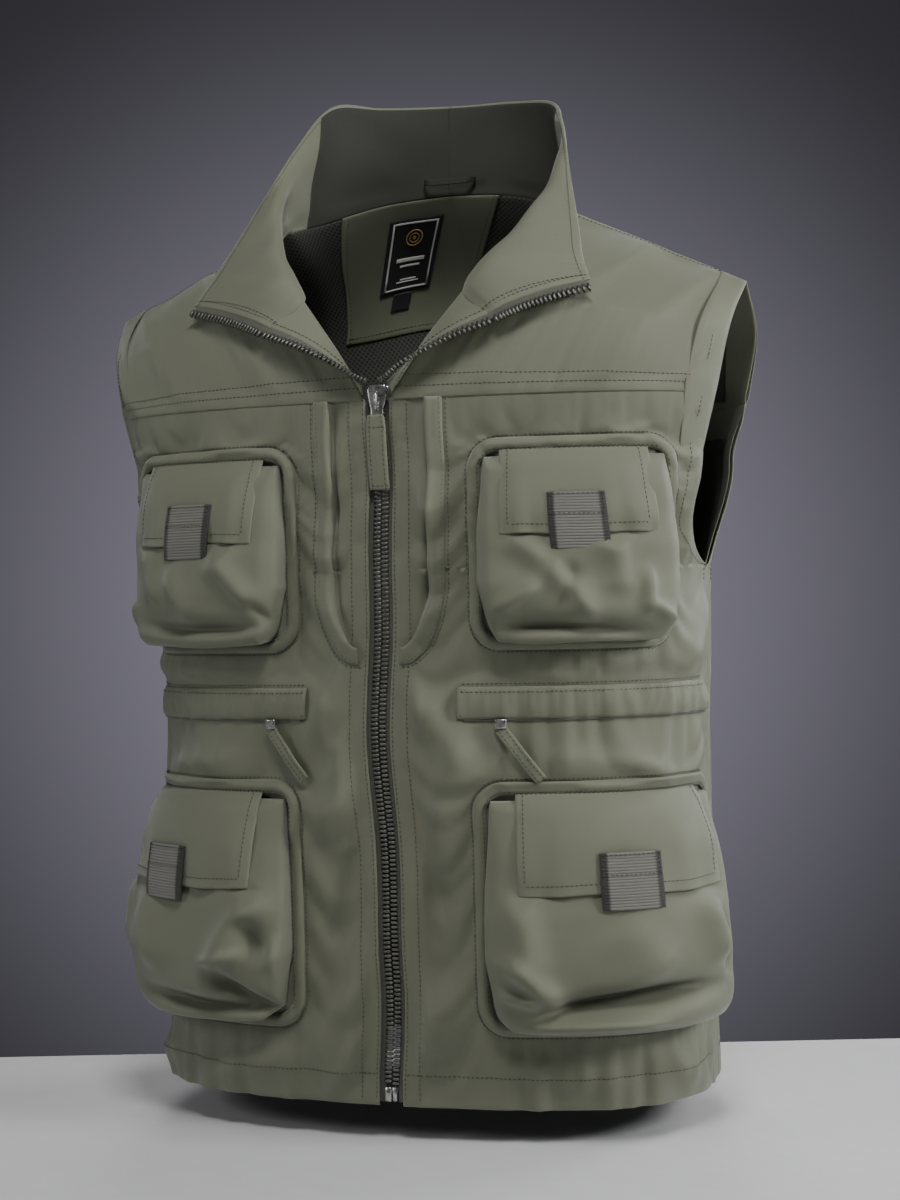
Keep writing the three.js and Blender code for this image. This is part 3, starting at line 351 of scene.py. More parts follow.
def cloth_rise(face, u, z):
    """How far the folds and puckers lift the cloth at (u, z)."""
    cloth = bpy.context.scene.vest_cloth
    u, z = np.asarray(u, float), np.asarray(z, float)
    hem = pucker(11, u, z - 20, 10.0) * 0.5
    yoke = pucker(12, u, z - YOKE, 13.0) * 0.55
    if face == "back":
        broad = strokes_at(STROKES["back"], u, z)
        seams = hem + yoke + 0.5 * pucker(13, z, np.abs(u) - edge_length("back", z) + 12)
    else:
        away = np.abs(u)
        broad = np.where(u > 0, strokes_at(STROKES["left"], away, z), strokes_at(STROKES["right"], away, z))
        rings = sum(0.55 * pucker(20 + k, z + away, near_ring(away, z, pocket), 12)
                    for k, pocket in enumerate((CHEST, LOWER)))
        zips = 0.7 * pucker(14, z + 3 * np.sign(u), away - 16, 9.0)
        welts = 0.5 * pucker(15, away, np.minimum(np.abs(z - WELT_LOW - 24), np.abs(z - WELT_LOW + 6)), 9.0)
        seams = hem + yoke + rings + zips + welts
        seams = seams + 0.4 * pucker(16, z, away - edge_length("front", z) + 12)
        off_zip = np.clip((away - SEAM_CLEAR) / SEAM_FADE, 0, 1)
        u, z = np.broadcast_arrays(u, z)
        slack = np.where(u > 0, slack_rise("left", away, z), slack_rise("right", away, z))
        broad = (FRONT_FOLDS * broad + slack) * off_zip
        seams = seams + slit_recess(u, z)
    broad = broad * np.clip((YOKE - z) / 30, 0, 1) + 0.5 * ripple(3, u, z, 70.0)
    side = np.clip((edge_length(face, np.clip(z, 0, YOKE)) - np.abs(u)) / 18, 0, 1)
    return cloth.folds * broad * side + cloth.puckers * seams


def zip_sway(z):
    """The closed zip wavers a little from side to side as it hangs."""
    fade = np.clip((YOKE - 24 - z) / 60, 0, 1) * np.clip((z - 14) / 70, 0, 1)
    return fade * (3.2 * np.sin(z / 62.0 + 0.4) + 1.3 * np.sin(z / 23.0))


def cloth_at(face, u, z, d=0.0, follow=1.0):
    """Point d out of the folded cloth. `follow` is how much of the folds it takes on."""
    point = on_body(face, u, z, np.asarray(d, float) + follow * cloth_rise(face, u, z))
    if face == "front":
        near = np.exp(-(np.asarray(u, float) / 60.0) ** 2)
        point[..., 0] += near * zip_sway(np.asarray(z, float))
    return point


# ---- Curves ----------------------------------------------------------------------------------
def spline(points, t):
    """Centripetal Catmull-Rom curve through the points, at t from 0 to 1."""
    p = np.asarray(points, float)
    t = np.asarray(t, float)
    ends = np.vstack([2 * p[0] - p[1], p, 2 * p[-1] - p[-2]])
    at = np.clip(t, 0, 1) * (len(p) - 1)
    k = np.minimum(at.astype(int), len(p) - 2)
    w = (at - k)[..., None]
    p0, p1, p2, p3 = (ends[k + i] for i in range(4))
    steps = ((p0, p1), (p1, p2), (p2, p3))
    d0, d1, d2 = (np.sqrt(np.linalg.norm(b - a, axis=-1))[..., None] for a, b in steps)
    t1 = ((p1 - p0) / d0 - (p2 - p0) / (d0 + d1) + (p2 - p1) / d1) * d1
    t2 = ((p2 - p1) / d1 - (p3 - p1) / (d1 + d2) + (p3 - p2) / d2) * d1
    return p1 + t1 * w + (3 * (p2 - p1) - 2 * t1 - t2) * w ** 2 + (2 * (p1 - p2) + t1 + t2) * w ** 3


def edge_point(face, z):
    """Point on the panel's own edge at height z."""
    return on_body(face, edge_length(face, z), z, 0.0)


NECK_SIDE = (NECK_HALF, -12, 636)
SHOULDER_TIP = (SHOULDER_HALF, -18, 572)
ROLL_CORNER = (60, -113.1, 566)
ZIP_CORNER = (82, -127.4, 545)
COLLAR_TIP = (147, -104, 567)
ARM_FRONT = (tuple(edge_point("front", YOKE)), (233, -52, 536), SHOULDER_TIP)
ARM_BACK = (tuple(edge_point("back", YOKE)), (241, 28, 538), SHOULDER_TIP)
NECK_FRONT = (ROLL_CORNER, (84, -84, 590), (103, -50, 614), NECK_SIDE)
NECK_BACK = (NECK_SIDE, (97, 22, 646), (52, 59.08, 665), tuple(NAPE))
ROLL_LINE = ((9.5, -130, YOKE), (32, -123.5, 528), ROLL_CORNER)
ZIP_LINE = ((8.5, -134, 498), (24, -138, 514), (52, -135, 532), ZIP_CORNER)
SEAM_HALF = (ZIP_CORNER, ROLL_CORNER, *spline(NECK_FRONT, np.array((0.33, 0.66))), NECK_SIDE,
             *spline(NECK_BACK, np.array((0.33, 0.66, 1.0))))
ROLL_HALF = ((106, -126.1, 558), (74, -123.5, 594), (74, -92, 618), (90, -54, 646),
             (102, -10, 670), (94, 26, 682), (52, 62.08, 700), (0, 69.08, 705))
TOP_HALF = (COLLAR_TIP, (140, -92, 584), (133, -72, 608), (120, -38, 652), (106, 0, 700),
            (90, 38, 727), (54, 64.08, 737), (0, 72.08, 740))


def whole_neck(half):
    """A curve given from its left end to the middle, carried on to its right end."""
    half = np.asarray(half, float)
    return np.vstack([half, half[-2::-1] * (-1, 1, 1)])


COLLAR_LINES = tuple(whole_neck(half) for half in (SEAM_HALF, ROLL_HALF, TOP_HALF))
COLLAR_LINES[2][8:10] += ((-3, 0, 5), (2, 6, 15))      # the right side of the collar stands up straighter


def collar_point(s, t):
    """Collar at s round the neck from the left corner and t up from its seam: a quadratic roll."""
    s, t = np.broadcast_arrays(np.asarray(s, float), np.asarray(t, float))
    lift = (0.05 + 0.95 * t)[..., None]
    a, b, c = (spline(line, s) for line in COLLAR_LINES)
    return a * (1 - lift) ** 2 + 2 * b * lift * (1 - lift) + c * lift ** 2


def coons(bottom, top, left, right, s, t):
    """Bilinearly blended patch between four edge curves."""
    s, t = np.broadcast_arrays(np.asarray(s, float), np.asarray(t, float))
    a, b = s[..., None], t[..., None]
    zero, one = np.zeros(1), np.ones(1)
    corners = ((1 - a) * (1 - b) * bottom(zero) + a * (1 - b) * bottom(one)
               + (1 - a) * b * top(zero) + a * b * top(one))
    return bottom(s) * (1 - b) + top(s) * b + left(t) * (1 - a) + right(t) * a - corners


def straight(a, b, t):
    """Points at t along the straight line from a to b."""
    a, b = np.asarray(a, float), np.asarray(b, float)
    return a + (b - a) * np.asarray(t, float)[..., None]


def front_yoke_point(s, t, lap=0.0, side=1.0):
    """Front yoke, as on the left, at s out from the zip and t up; `lap` carries it over the panel."""
    last = float(edge_length("front", np.array(YOKE)))

    def bottom(q):
        return cloth_at("front", side * (9.5 + q * (last - 9.5)), YOKE + 0.0 * q) * (side, 1, 1)

    def left(q):
        roll = spline(ROLL_LINE, q / 0.45)
        neck = spline(NECK_FRONT, (q - 0.45) / 0.55)
        return np.where((q < 0.45)[..., None], roll, neck)

    patch = coons(bottom, lambda q: straight(NECK_SIDE, SHOULDER_TIP, q), left,
                  lambda q: spline(ARM_FRONT, q), s, t)
    patch[..., 1] -= 7 * np.sin(math.pi * t) * np.sin(math.pi * s)
    patch[..., 2] = np.maximum(patch[..., 2], YOKE) - lap * np.clip(1 - t * 30, 0, 1)
    return patch


def back_yoke_point(s, t, lap=0.0):
    """Back yoke at s from the right armhole to the left one and t up to the neck and shoulders."""
    last = float(edge_length("back", np.array(YOKE)))

    def bottom(q):
        return cloth_at("back", (2 * q - 1) * last, YOKE + 0.0 * q)

    def top(q):
        away = np.abs(2 * q - 1)
        neck = spline(NECK_BACK, 1 - away / 0.42)
        shoulder = straight(NECK_SIDE, SHOULDER_TIP, (away - 0.42) / 0.58)
        at = np.where((away < 0.42)[..., None], neck, shoulder)
        return at * np.stack([np.sign(2 * q - 1), np.ones_like(q), np.ones_like(q)], axis=-1)

    def arm(sign):
        return lambda q: spline(ARM_BACK, q) * (sign, 1, 1)

    patch = coons(bottom, top, arm(-1), arm(1), s, t)
    swell = 13 * np.sin(math.pi * t) * (1 - (2 * s - 1) ** 2)
    patch[..., 1] += swell
    patch[..., 2] += 0.35 * swell - lap * np.clip(1 - t * 30, 0, 1)
    return patch


# ---- Meshes from grids -----------------------------------------------------------------------
def stations(count, length, edge):
    """Shares from 0 to 1 with a first and last step only `edge` long, so that edges look turned."""
    near = min(edge / length, 0.3 / count)
    return np.concatenate([[0.0], np.linspace(near, 1 - near, count - 1), [1.0]])


def grid_normals(points, loop=False):
    """Unit normals of a grid of points: the cross product of its two central differences."""
    if loop:
        wrapped = np.concatenate([points[-1:], points, points[:1]])
        along = wrapped[2:] - wrapped[:-2]
    else:
        along = np.gradient(points, axis=0)
    normal = np.cross(along, np.gradient(points, axis=1))
    return normal / np.maximum(np.linalg.norm(normal, axis=-1, keepdims=True), 1e-9)


def quads(index, loop=False):
    """Quads of a grid of vertex numbers, facing along the cross product of its two directions."""
    if loop:
        index = np.concatenate([index, index[:1]])
    a, b, c, d = index[:-1, :-1], index[1:, :-1], index[1:, 1:], index[:-1, 1:]
    return np.stack([a, b, c, d], axis=-1).reshape(-1, 4)


def slab(points, thick, loop=False, wear_and_rib_shade=None):
    """Closed cloth round a grid of middle points: front and back surfaces that meet at the edge."""
    normal = grid_normals(points, loop)
    columns, rows = points.shape[:2]
    inside = np.zeros((columns, rows), bool)
    inside[(slice(None) if loop else slice(1, -1)), 1:-1] = True
    half = np.where(inside, thick / 2, 0.0)[..., None]
    front = np.arange(columns * rows).reshape(columns, rows)
    back = front.copy()
    back[inside] = columns * rows + np.arange(inside.sum())
    verts = np.concatenate([(points + normal * half).reshape(-1, 3), (points - normal * half)[inside]])
    faces = np.concatenate([quads(front, loop), quads(back, loop)[:, ::-1]])
    run = np.linalg.norm(np.diff(points, axis=0), axis=-1).mean(axis=1)
    rise = np.linalg.norm(np.diff(points, axis=1), axis=-1).mean(axis=0)
    across = np.concatenate([[0], np.cumsum(run)])[:, None] + np.zeros((1, rows))
    up = np.concatenate([[0], np.cumsum(rise)])[None, :] + np.zeros((columns, 1))
    uv = np.stack([across, up], axis=-1) * 0.001
    uv = np.concatenate([uv.reshape(-1, 2), uv[inside]])
    gap = np.minimum(up, up[:, -1:] - up)
    if not loop:
        gap = np.minimum(gap, np.minimum(across, across[-1:] - across))
    # By default lighter near the piece's edges; the ribbed tab passes its painted rib shade instead.
    wear_and_rib_shade = np.exp(-gap / 3.0) if wear_and_rib_shade is None else wear_and_rib_shade
    return verts, faces, uv, np.concatenate([wear_and_rib_shade.reshape(-1), wear_and_rib_shade[inside]])


def joined(parts):
    """Several meshes as one: vertices, faces, texture places and wear_and_rib_shade values set one after
    another.
    """
    faces, start = [], 0
    for part in parts:
        faces.append(part[1] + start)
        start += len(part[0])
    same = len({f.shape[1] for f in faces}) == 1
    merged = np.concatenate(faces) if same else [f for block in faces for f in block.tolist()]
    rest = [np.concatenate([part[k] for part in parts]) for k in (0, 2, 3)]
    return rest[0], merged, rest[1], rest[2]


def bare(verts, faces):
    """A mesh without a laid-out surface of its own: it takes its texture places from the front."""
    return verts, faces, verts[:, (0, 2)] * 0.001, np.zeros(len(verts))


def add_mesh(name, mesh_parts, material):
    """A mesh object in place with its finish, every face turned outwards, not yet on a body."""
    verts, faces, uv, wear_and_rib_shade = mesh_parts
    mesh = bpy.data.meshes.new(name)
    face_list = faces.tolist() if isinstance(faces, np.ndarray) else faces
    mesh.from_pydata(((verts - NAPE) * 0.001).tolist(), [], face_list)
    mesh.polygons.foreach_set("use_smooth", np.ones(len(mesh.polygons), bool))
    corner = np.empty(len(mesh.loops), np.int32)
    mesh.loops.foreach_get("vertex_index", corner)
    mesh.uv_layers.new(name="UVMap").data.foreach_set("uv", uv[corner].astype(np.float32).ravel())
    mesh.attributes.new("wear_and_rib_shade", "FLOAT", "POINT").data.foreach_set("value", wear_and_rib_shade.astype(np.float32))
    shell = bmesh.new()
    shell.from_mesh(mesh)
    bmesh.ops.recalc_face_normals(shell, faces=shell.faces)
    shell.to_mesh(mesh)
    shell.free()
    piece = bpy.data.objects.new(name, mesh)
    bpy.context.scene.collection.objects.link(piece)
    mesh.materials.append(material)
    return piece


def stand_for(nodes):
    """Hides the frame's nodes that the piece stands for."""
    if nodes:
        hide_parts(*nodes)


def add_piece(name, mesh_parts, material, body, nodes=(), opening=None):
    """A finished piece on its body, or, for a piece at an opening, fixed in place with its transform applied.
    """
    piece = add_mesh(name, mesh_parts, material)
    if opening:
        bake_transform(piece)
    else:
        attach(piece, body)
    stand_for(nodes)
    return piece


def along_path(path):
    """Unit tangents of a path of points."""
    tangent = np.gradient(path, axis=0)
    return tangent / np.maximum(np.linalg.norm(tangent, axis=-1, keepdims=True), 1e-9)


def resample(path, extra, pitch):
    """Points every `pitch` along a path, with the values of `extra` there."""
    step = np.linalg.norm(np.diff(path, axis=0), axis=-1)
    length = np.concatenate([[0], np.cumsum(step)])
    at = np.arange(pitch / 2, length[-1], pitch)
    return [np.stack([np.interp(at, length, values[:, k]) for k in range(3)], axis=-1)
            for values in (path, extra)]


def stitches(path, normal):
    """A row of stitches: each a slim grain of thread, six corners and eight faces."""
    trim = bpy.context.scene.vest_trim
    at, out = resample(path, normal, trim.stitch_pitch)
    tangent = along_path(at)
    side = np.cross(tangent, out)
    side /= np.maximum(np.linalg.norm(side, axis=-1, keepdims=True), 1e-9)
    reach, half = 0.40 * trim.stitch_pitch, trim.stitch_width / 2
    corners = np.stack([at - tangent * reach - out * 0.15, at + side * half, at + out * half,
                        at - side * half, at - out * half, at + tangent * reach - out * 0.15], axis=1)
    cell = np.array([(0, 2, 1), (0, 3, 2), (0, 4, 3), (0, 1, 4), (5, 1, 2), (5, 2, 3), (5, 3, 4), (5, 4, 1)])
    faces = (cell[None] + 6 * np.arange(len(at))[:, None, None]).reshape(-1, 3)
    return bare(corners.reshape(-1, 3), faces)


def stitched(grid, column=None, row=None, lift=0.7, side=1.0):
    """Stitches along one line of a grid of points, on the side that its normals (times side) face."""
    normal = grid_normals(grid) * side
    line = (slice(None), row) if column is None else (column, slice(None))
    return stitches(grid[line] + normal[line] * lift, normal[line])


def body_stitches(face, u, z, d=1.0):
    """Stitches on the folded cloth along the line (u, z)."""
    u, z = np.broadcast_arrays(np.asarray(u, float), np.asarray(z, float))
    path = cloth_at(face, u, z, d)
    normal = cloth_at(face, u, z, d + 1.0) - path
    return stitches(path, normal / np.linalg.norm(normal, axis=-1, keepdims=True))


# ---- Finishes --------------------------------------------------------------------------------
def group_socket(group, name, direction, kind, default=None):
    """Adds an input or output to a node group."""
    socket = group.interface.new_socket(name=name, in_out=direction, socket_type=kind)
    if default is not None:
        socket.default_value = default
    return socket


def woven_group():
    """Weave, slow colour changes and scuffed, lighter edges, from the piece's own UV map; on webbing the same
    attribute brings painted highlight to the ribs.
    """
    if "Woven cloth" in bpy.data.node_groups:
        return bpy.data.node_groups["Woven cloth"]
    group = bpy.data.node_groups.new("Woven cloth", "ShaderNodeTree")
    group_socket(group, "Colour", "INPUT", "NodeSocketColor", (0.5, 0.5, 0.5, 1))
    group_socket(group, "Roughness", "INPUT", "NodeSocketFloat", 0.6)
    group_socket(group, "Threads", "INPUT", "NodeSocketFloat", 1400.0)
    group_socket(group, "Mottle", "INPUT", "NodeSocketFloat", 0.12)
    group_socket(group, "Colour", "OUTPUT", "NodeSocketColor")
    group_socket(group, "Roughness", "OUTPUT", "NodeSocketFloat")
    group_socket(group, "Height", "OUTPUT", "NodeSocketFloat")
    nodes, links = group.nodes, group.links
    given = nodes.new("NodeGroupInput")
    result = nodes.new("NodeGroupOutput")
    place = nodes.new("ShaderNodeTexCoord")
    waves = []
    for direction in ("X", "Y"):
        wave = nodes.new("ShaderNodeTexWave")
        wave.bands_direction = direction
        wave.inputs["Distortion"].default_value = 0.4
        links.new(place.outputs["UV"], wave.inputs["Vector"])
        links.new(given.outputs["Threads"], wave.inputs["Scale"])
        waves.append(wave)
    weave = math_node(nodes, links, "ADD", waves[0].outputs["Fac"], waves[1].outputs["Fac"])
    broad = noise_node(nodes, links, place.outputs["Object"], 9.0, 4.0)
    fine = noise_node(nodes, links, place.outputs["Object"], 420.0, 3.0)
    tone = math_node(nodes, links, "MULTIPLY_ADD", broad.outputs["Fac"], given.outputs["Mottle"], 0.94)
    speck = math_node(nodes, links, "MULTIPLY_ADD", fine.outputs["Fac"], 0.07, tone.outputs[0])
    # Scuffed, lighter edges on cloth; on the ribbed webbing the same attribute paints highlight on the ribs.
    wear_and_rib_node = nodes.new("ShaderNodeAttribute")
    wear_and_rib_node.attribute_name = "wear_and_rib_shade"
    rub_and_rib_light = math_node(nodes, links, "MULTIPLY", wear_and_rib_node.outputs["Fac"], broad.outputs["Fac"])
    lift = math_node(nodes, links, "MULTIPLY_ADD", rub_and_rib_light.outputs[0], 0.22, speck.outputs[0])
    tint = nodes.new("ShaderNodeVectorMath")
    tint.operation = "SCALE"
    links.new(given.outputs["Colour"], tint.inputs[0])
    links.new(lift.outputs[0], tint.inputs["Scale"])
    links.new(tint.outputs[0], result.inputs["Colour"])
    rough = given.outputs["Roughness"]
    matt = math_node(nodes, links, "MULTIPLY_ADD", fine.outputs["Fac"], 0.10, rough)
    links.new(matt.outputs[0], result.inputs["Roughness"])
    height = math_node(nodes, links, "ADD", weave.outputs[0], fine.outputs["Fac"])
    links.new(height.outputs[0], result.inputs["Height"])
    return group


def math_node(nodes, links, operation, *sources):
    """Math node fed by sockets and plain numbers."""
    node = nodes.new("ShaderNodeMath")
    node.operation = operation
    for place, source in zip(node.inputs, sources):
        if isinstance(source, float):
            place.default_value = source
        else:
            links.new(source, place)
    return node


def noise_node(nodes, links, vector, scale, detail):
    """Noise over the coordinates of a vector socket."""
    node = nodes.new("ShaderNodeTexNoise")
    node.inputs["Scale"].default_value = scale
    node.inputs["Detail"].default_value = detail
    links.new(vector, node.inputs["Vector"])
    return node


def colour_ramp(nodes, links, share, low, high, ends=(0.0, 1.0)):
    """Colour socket that goes from low to high as the share socket passes between both ends."""
    ramp = nodes.new("ShaderNodeValToRGB")
    for element, position, colour in zip(ramp.color_ramp.elements, ends, (low, high)):
        element.position = position
        element.color = (*colour, 1)
    links.new(share, ramp.inputs["Fac"])
    return ramp.outputs["Color"], ramp.color_ramp


def add_relief(nodes, links, shader, height, strength, distance):
    """Bump from a height socket."""
    relief = nodes.new("ShaderNodeBump")
    relief.inputs["Strength"].default_value = strength
    relief.inputs["Distance"].default_value = distance
    links.new(height, relief.inputs["Height"])
    links.new(relief.outputs["Normal"], shader.inputs["Normal"])


def shaded(colour, share):
    """A colour at a share of its brightness."""
    return tuple(share * c for c in colour)


def new_material(name):
    """A material with its nodes, links and shader."""
    material = bpy.data.materials.new(name)
    material.use_nodes = True
    nodes = material.node_tree.nodes
    return material, nodes, material.node_tree.links, nodes["Principled BSDF"]


def cloth_finish(name, colour, rough, threads=1400.0, mottle=0.12, sheen=0.3, bump=0.25):
    """Woven cloth: colour and relief from the weave group, with a soft sheen."""
    if name in bpy.data.materials:
        return bpy.data.materials[name]
    material, nodes, links, shader = new_material(name)
    weave = nodes.new("ShaderNodeGroup")
    weave.node_tree = woven_group()
    weave.inputs["Colour"].default_value = (*colour, 1)
    weave.inputs["Roughness"].default_value = rough
    weave.inputs["Threads"].default_value = threads
    weave.inputs["Mottle"].default_value = mottle
    links.new(weave.outputs["Colour"], shader.inputs["Base Color"])
    links.new(weave.outputs["Roughness"], shader.inputs["Roughness"])
    add_relief(nodes, links, shader, weave.outputs["Height"], bump, 0.0003)
    shader.inputs["Sheen Weight"].default_value = sheen
    shader.inputs["Sheen Roughness"].default_value = 0.45
    return material


def mesh_finish(name, colour):
    """Knitted mesh: rows of round holes over the piece's own UV map, darker inside the holes."""
    if name in bpy.data.materials:
        return bpy.data.materials[name]
    material, nodes, links, shader = new_material(name)
    place = nodes.new("ShaderNodeTexCoord")
    turn = nodes.new("ShaderNodeMapping")
    turn.inputs["Rotation"].default_value = (0, 0, math.radians(45))
    turn.inputs["Scale"].default_value = (330, 330, 330)
    cell = nodes.new("ShaderNodeTexVoronoi")
    cell.inputs["Randomness"].default_value = 0.0
    cell.inputs["Scale"].default_value = 1.0
    links.new(place.outputs["UV"], turn.inputs["Vector"])
    links.new(turn.outputs["Vector"], cell.inputs["Vector"])
    away = cell.outputs["Distance"]
    tint, _ = colour_ramp(nodes, links, away, shaded(colour, 0.18), colour, (0.22, 0.42))
    links.new(tint, shader.inputs["Base Color"])
    add_relief(nodes, links, shader, away, 0.5, 0.0006)
    shader.inputs["Roughness"].default_value = 0.8
    return material


def metal_finish(name, colour, rough):
    """Brushed, slightly tarnished metal."""
    if name in bpy.data.materials:
        return bpy.data.materials[name]
    material, nodes, links, shader = new_material(name)
    place = nodes.new("ShaderNodeTexCoord")
    stain = noise_node(nodes, links, place.outputs["Object"], 260.0, 4.0)
    tint, _ = colour_ramp(nodes, links, stain.outputs["Fac"], shaded(colour, 0.55), colour, (0.3, 0.7))
    links.new(tint, shader.inputs["Base Color"])
    matt = math_node(nodes, links, "MULTIPLY_ADD", stain.outputs["Fac"], 0.25, rough)
    links.new(matt.outputs[0], shader.inputs["Roughness"])
    shader.inputs["Metallic"].default_value = 0.9
    return material


def olive():
    """Outer cloth."""
    return cloth_finish("Olive nylon", bpy.context.scene.vest_colours.cloth, 0.50)


def dark_olive():
    """Very dark olive: painted shade laid inside the collar, and the hanger's tape."""
    return cloth_finish("Dark olive lining", (0.020, 0.0215, 0.015), 0.7, sheen=0.0)


def thread():
    """Sewing thread, much darker than the cloth: partly its own colour, partly painted shade of the stitch
    holes.
    """
    return cloth_finish("Thread", bpy.context.scene.vest_colours.thread, 0.7, 3000.0, 0.1, 0.1, 0.1)


def tape_cloth():
    """Zip tape and hook tape."""
    return cloth_finish("Zip tape", bpy.context.scene.vest_colours.tape, 0.75, 700.0, 0.2, 0.2, 0.5)


def ribbed_finish():
    """Ribbed webbing: painted highlight along its ribs and painted shade in the grooves between them, over a
    fine weave.
    """
    if "Webbing" in bpy.data.materials:
        return bpy.data.materials["Webbing"]
    colour = bpy.context.scene.vest_colours.webbing
    material = cloth_finish("Webbing", colour, 0.6, 900.0, 0.2, 0.2, 0.4)
    nodes, links = material.node_tree.nodes, material.node_tree.links
    # Painted rib shading from the tab's attribute: painted highlight on the ribs, painted shade in the
    # grooves.
    rib = nodes.new("ShaderNodeAttribute")
    rib.attribute_name = "wear_and_rib_shade"
    tint, _ = colour_ramp(nodes, links, rib.outputs["Fac"], shaded(colour, 0.22), shaded(colour, 1.25),
                          (0.25, 0.85))
    weave = next(node for node in nodes if node.type == "GROUP")
    links.new(tint, weave.inputs["Colour"])
    return material


def lining_cloth():
    """Knitted mesh lining."""
    return mesh_finish("Mesh lining", bpy.context.scene.vest_colours.lining)


def teeth_metal():
    """Tarnished metal of the zip's teeth."""
    return metal_finish("Zip teeth", shaded(bpy.context.scene.vest_colours.metal, 0.55), 0.34)


def bright_metal():
    """Polished metal of the sliders, the pin and the box."""
    return metal_finish("Slider metal", (0.55, 0.55, 0.52), 0.16)


# ---- Operators: panels and yokes -------------------------------------------------------------
def opening_of(word):
    """Name of the front beside the opening on this side, and its side."""
    return f"front_{word}", dict(SIDES)[word]


def panel_heights(count, top):
    """Heights from the hem to the yoke seam, closer together where the armhole turns in."""
    t = stations(count, top, 0.7)
    low = t / 0.5 * ARMHOLE
    high = ARMHOLE + np.maximum((t - 0.5) / 0.5, 0) ** 1.6 * (top - ARMHOLE)
    return np.where(t < 0.5, low, high)


class VEST_OT_back(bpy.types.Operator):
    """Make the back: panel, yoke and mesh lining, with their stitching"""

    bl_idname = "vest.back"
    bl_label = "Back"

    def execute(self, context):
        thick = context.scene.vest_cloth.thickness
        z = panel_heights(150, YOKE - 1.0)
        across = 2 * stations(150, 500, 0.7) - 1
        edge = edge_length("back", z)
        grid = cloth_at("back", across[:, None] * edge[None, :], z[None, :] + 0 * across[:, None])
        add_piece("back_cloth", slab(grid[::-1], thick), olive(), "shell", ("back_panel",))
        s = stations(150, 470, 0.7)
        t = stations(44, 140, 0.7)
        yoke = back_yoke_point(s[:, None], t[None, :], lap=3.0)
        yoke[..., 1] += 0.9 * np.clip(1 - t * 12, 0, 1)
        normal = grid_normals(yoke)
        lift = 1.6 * ripple(31, s[:, None] * 470, t[None, :] * 140, 80.0)
        rise = 0.8 * pucker(33, s * 470, 0)[:, None] * np.exp(-t * 140 / 12)[None, :]
        border = np.minimum(np.minimum(s, 1 - s)[:, None] * 20, np.minimum(t, 1 - t)[None, :] * 10)
        yoke -= normal * ((lift + rise) * np.clip(border, 0, 1))[..., None]
        add_piece("back_yoke_cloth", slab(yoke[::-1], thick), olive(), "shell", ("back_yoke",))
        rows = [stitches(yoke[:, k] - normal[:, k] * 1.0, -normal[:, k]) for k in (3, 5)]
        rows += [stitches(yoke[:, -4] - normal[:, -4] * 1.0, -normal[:, -4])]
        hem = np.linspace(-0.995, 0.995, 400)
        rows.append(body_stitches("back", hem * edge_length("back", HEM_STITCH), HEM_STITCH))
        add_piece("back_stitching", joined(rows), thread(), "shell")
        z = np.maximum(30.0, panel_heights(60, YOKE - 25))
        edge = edge_length("back", z) - 25
        across = 2 * stations(90, 420, 0.7) - 1
        inner = cloth_at("back", across[:, None] * edge[None, :], z[None, :] + 0 * across[:, None],
                         -LINING_BEHIND + 0.8 * ripple(35, across[:, None] * 240, z[None, :], 60.0))
        add_piece("back_lining", slab(inner[::-1], LINING_THICK), lining_cloth(), "shell",
                  ("mesh_lining_back",))
        return {"FINISHED"}


class VEST_OT_fronts(bpy.types.Operator):
    """Make both fronts with their hem stitching and two rows of stitching beside the zip, and their mesh
    lining
    """

    bl_idname = "vest.fronts"
    bl_label = "Fronts"

    def execute(self, context):
        thick = context.scene.vest_cloth.thickness
        for word, side in SIDES:
            z = panel_heights(196, YOKE - 1.0)
            s = stations(112, 262, 0.7)
            u = ZIP_HALF + s[:, None] * (edge_length("front", z) - ZIP_HALF)[None, :]
            grid = cloth_at("front", side * u, z[None, :] + 0 * u)
            front = opening_of(word)
            add_piece(f"front_cloth_{word}", slab(grid, thick), olive(), None,
                      (f"front_panel_{word}",), opening=front)
            along = np.linspace(0, 1, 300)
            rows = [
                body_stitches("front", side * (ZIP_HALF + 2.5 + along * 250), HEM_STITCH),
                body_stitches("front", side * 21.0, 4 + along * (YOKE - 6)),
                body_stitches("front", side * (ZIP_HALF + 2.0), 4 + along * (YOKE - 6)),
            ]
            add_piece(f"front_stitching_{word}", joined(rows), thread(), None, opening=front)
            z = np.linspace(30, 350, 60)
            u = 23.5 + stations(50, 230, 0.7)[:, None] * (edge_length("front", z) - 31.5)[None, :]
            behind = -LINING_BEHIND + 0.8 * ripple(41, u, z[None, :], 60.0)
            inner = cloth_at("front", side * u, z[None, :] + 0 * u, behind)
            add_piece(f"front_lining_{word}", slab(inner, LINING_THICK), lining_cloth(), None,
                      (f"mesh_lining_{word}",), opening=front)
        return {"FINISHED"}


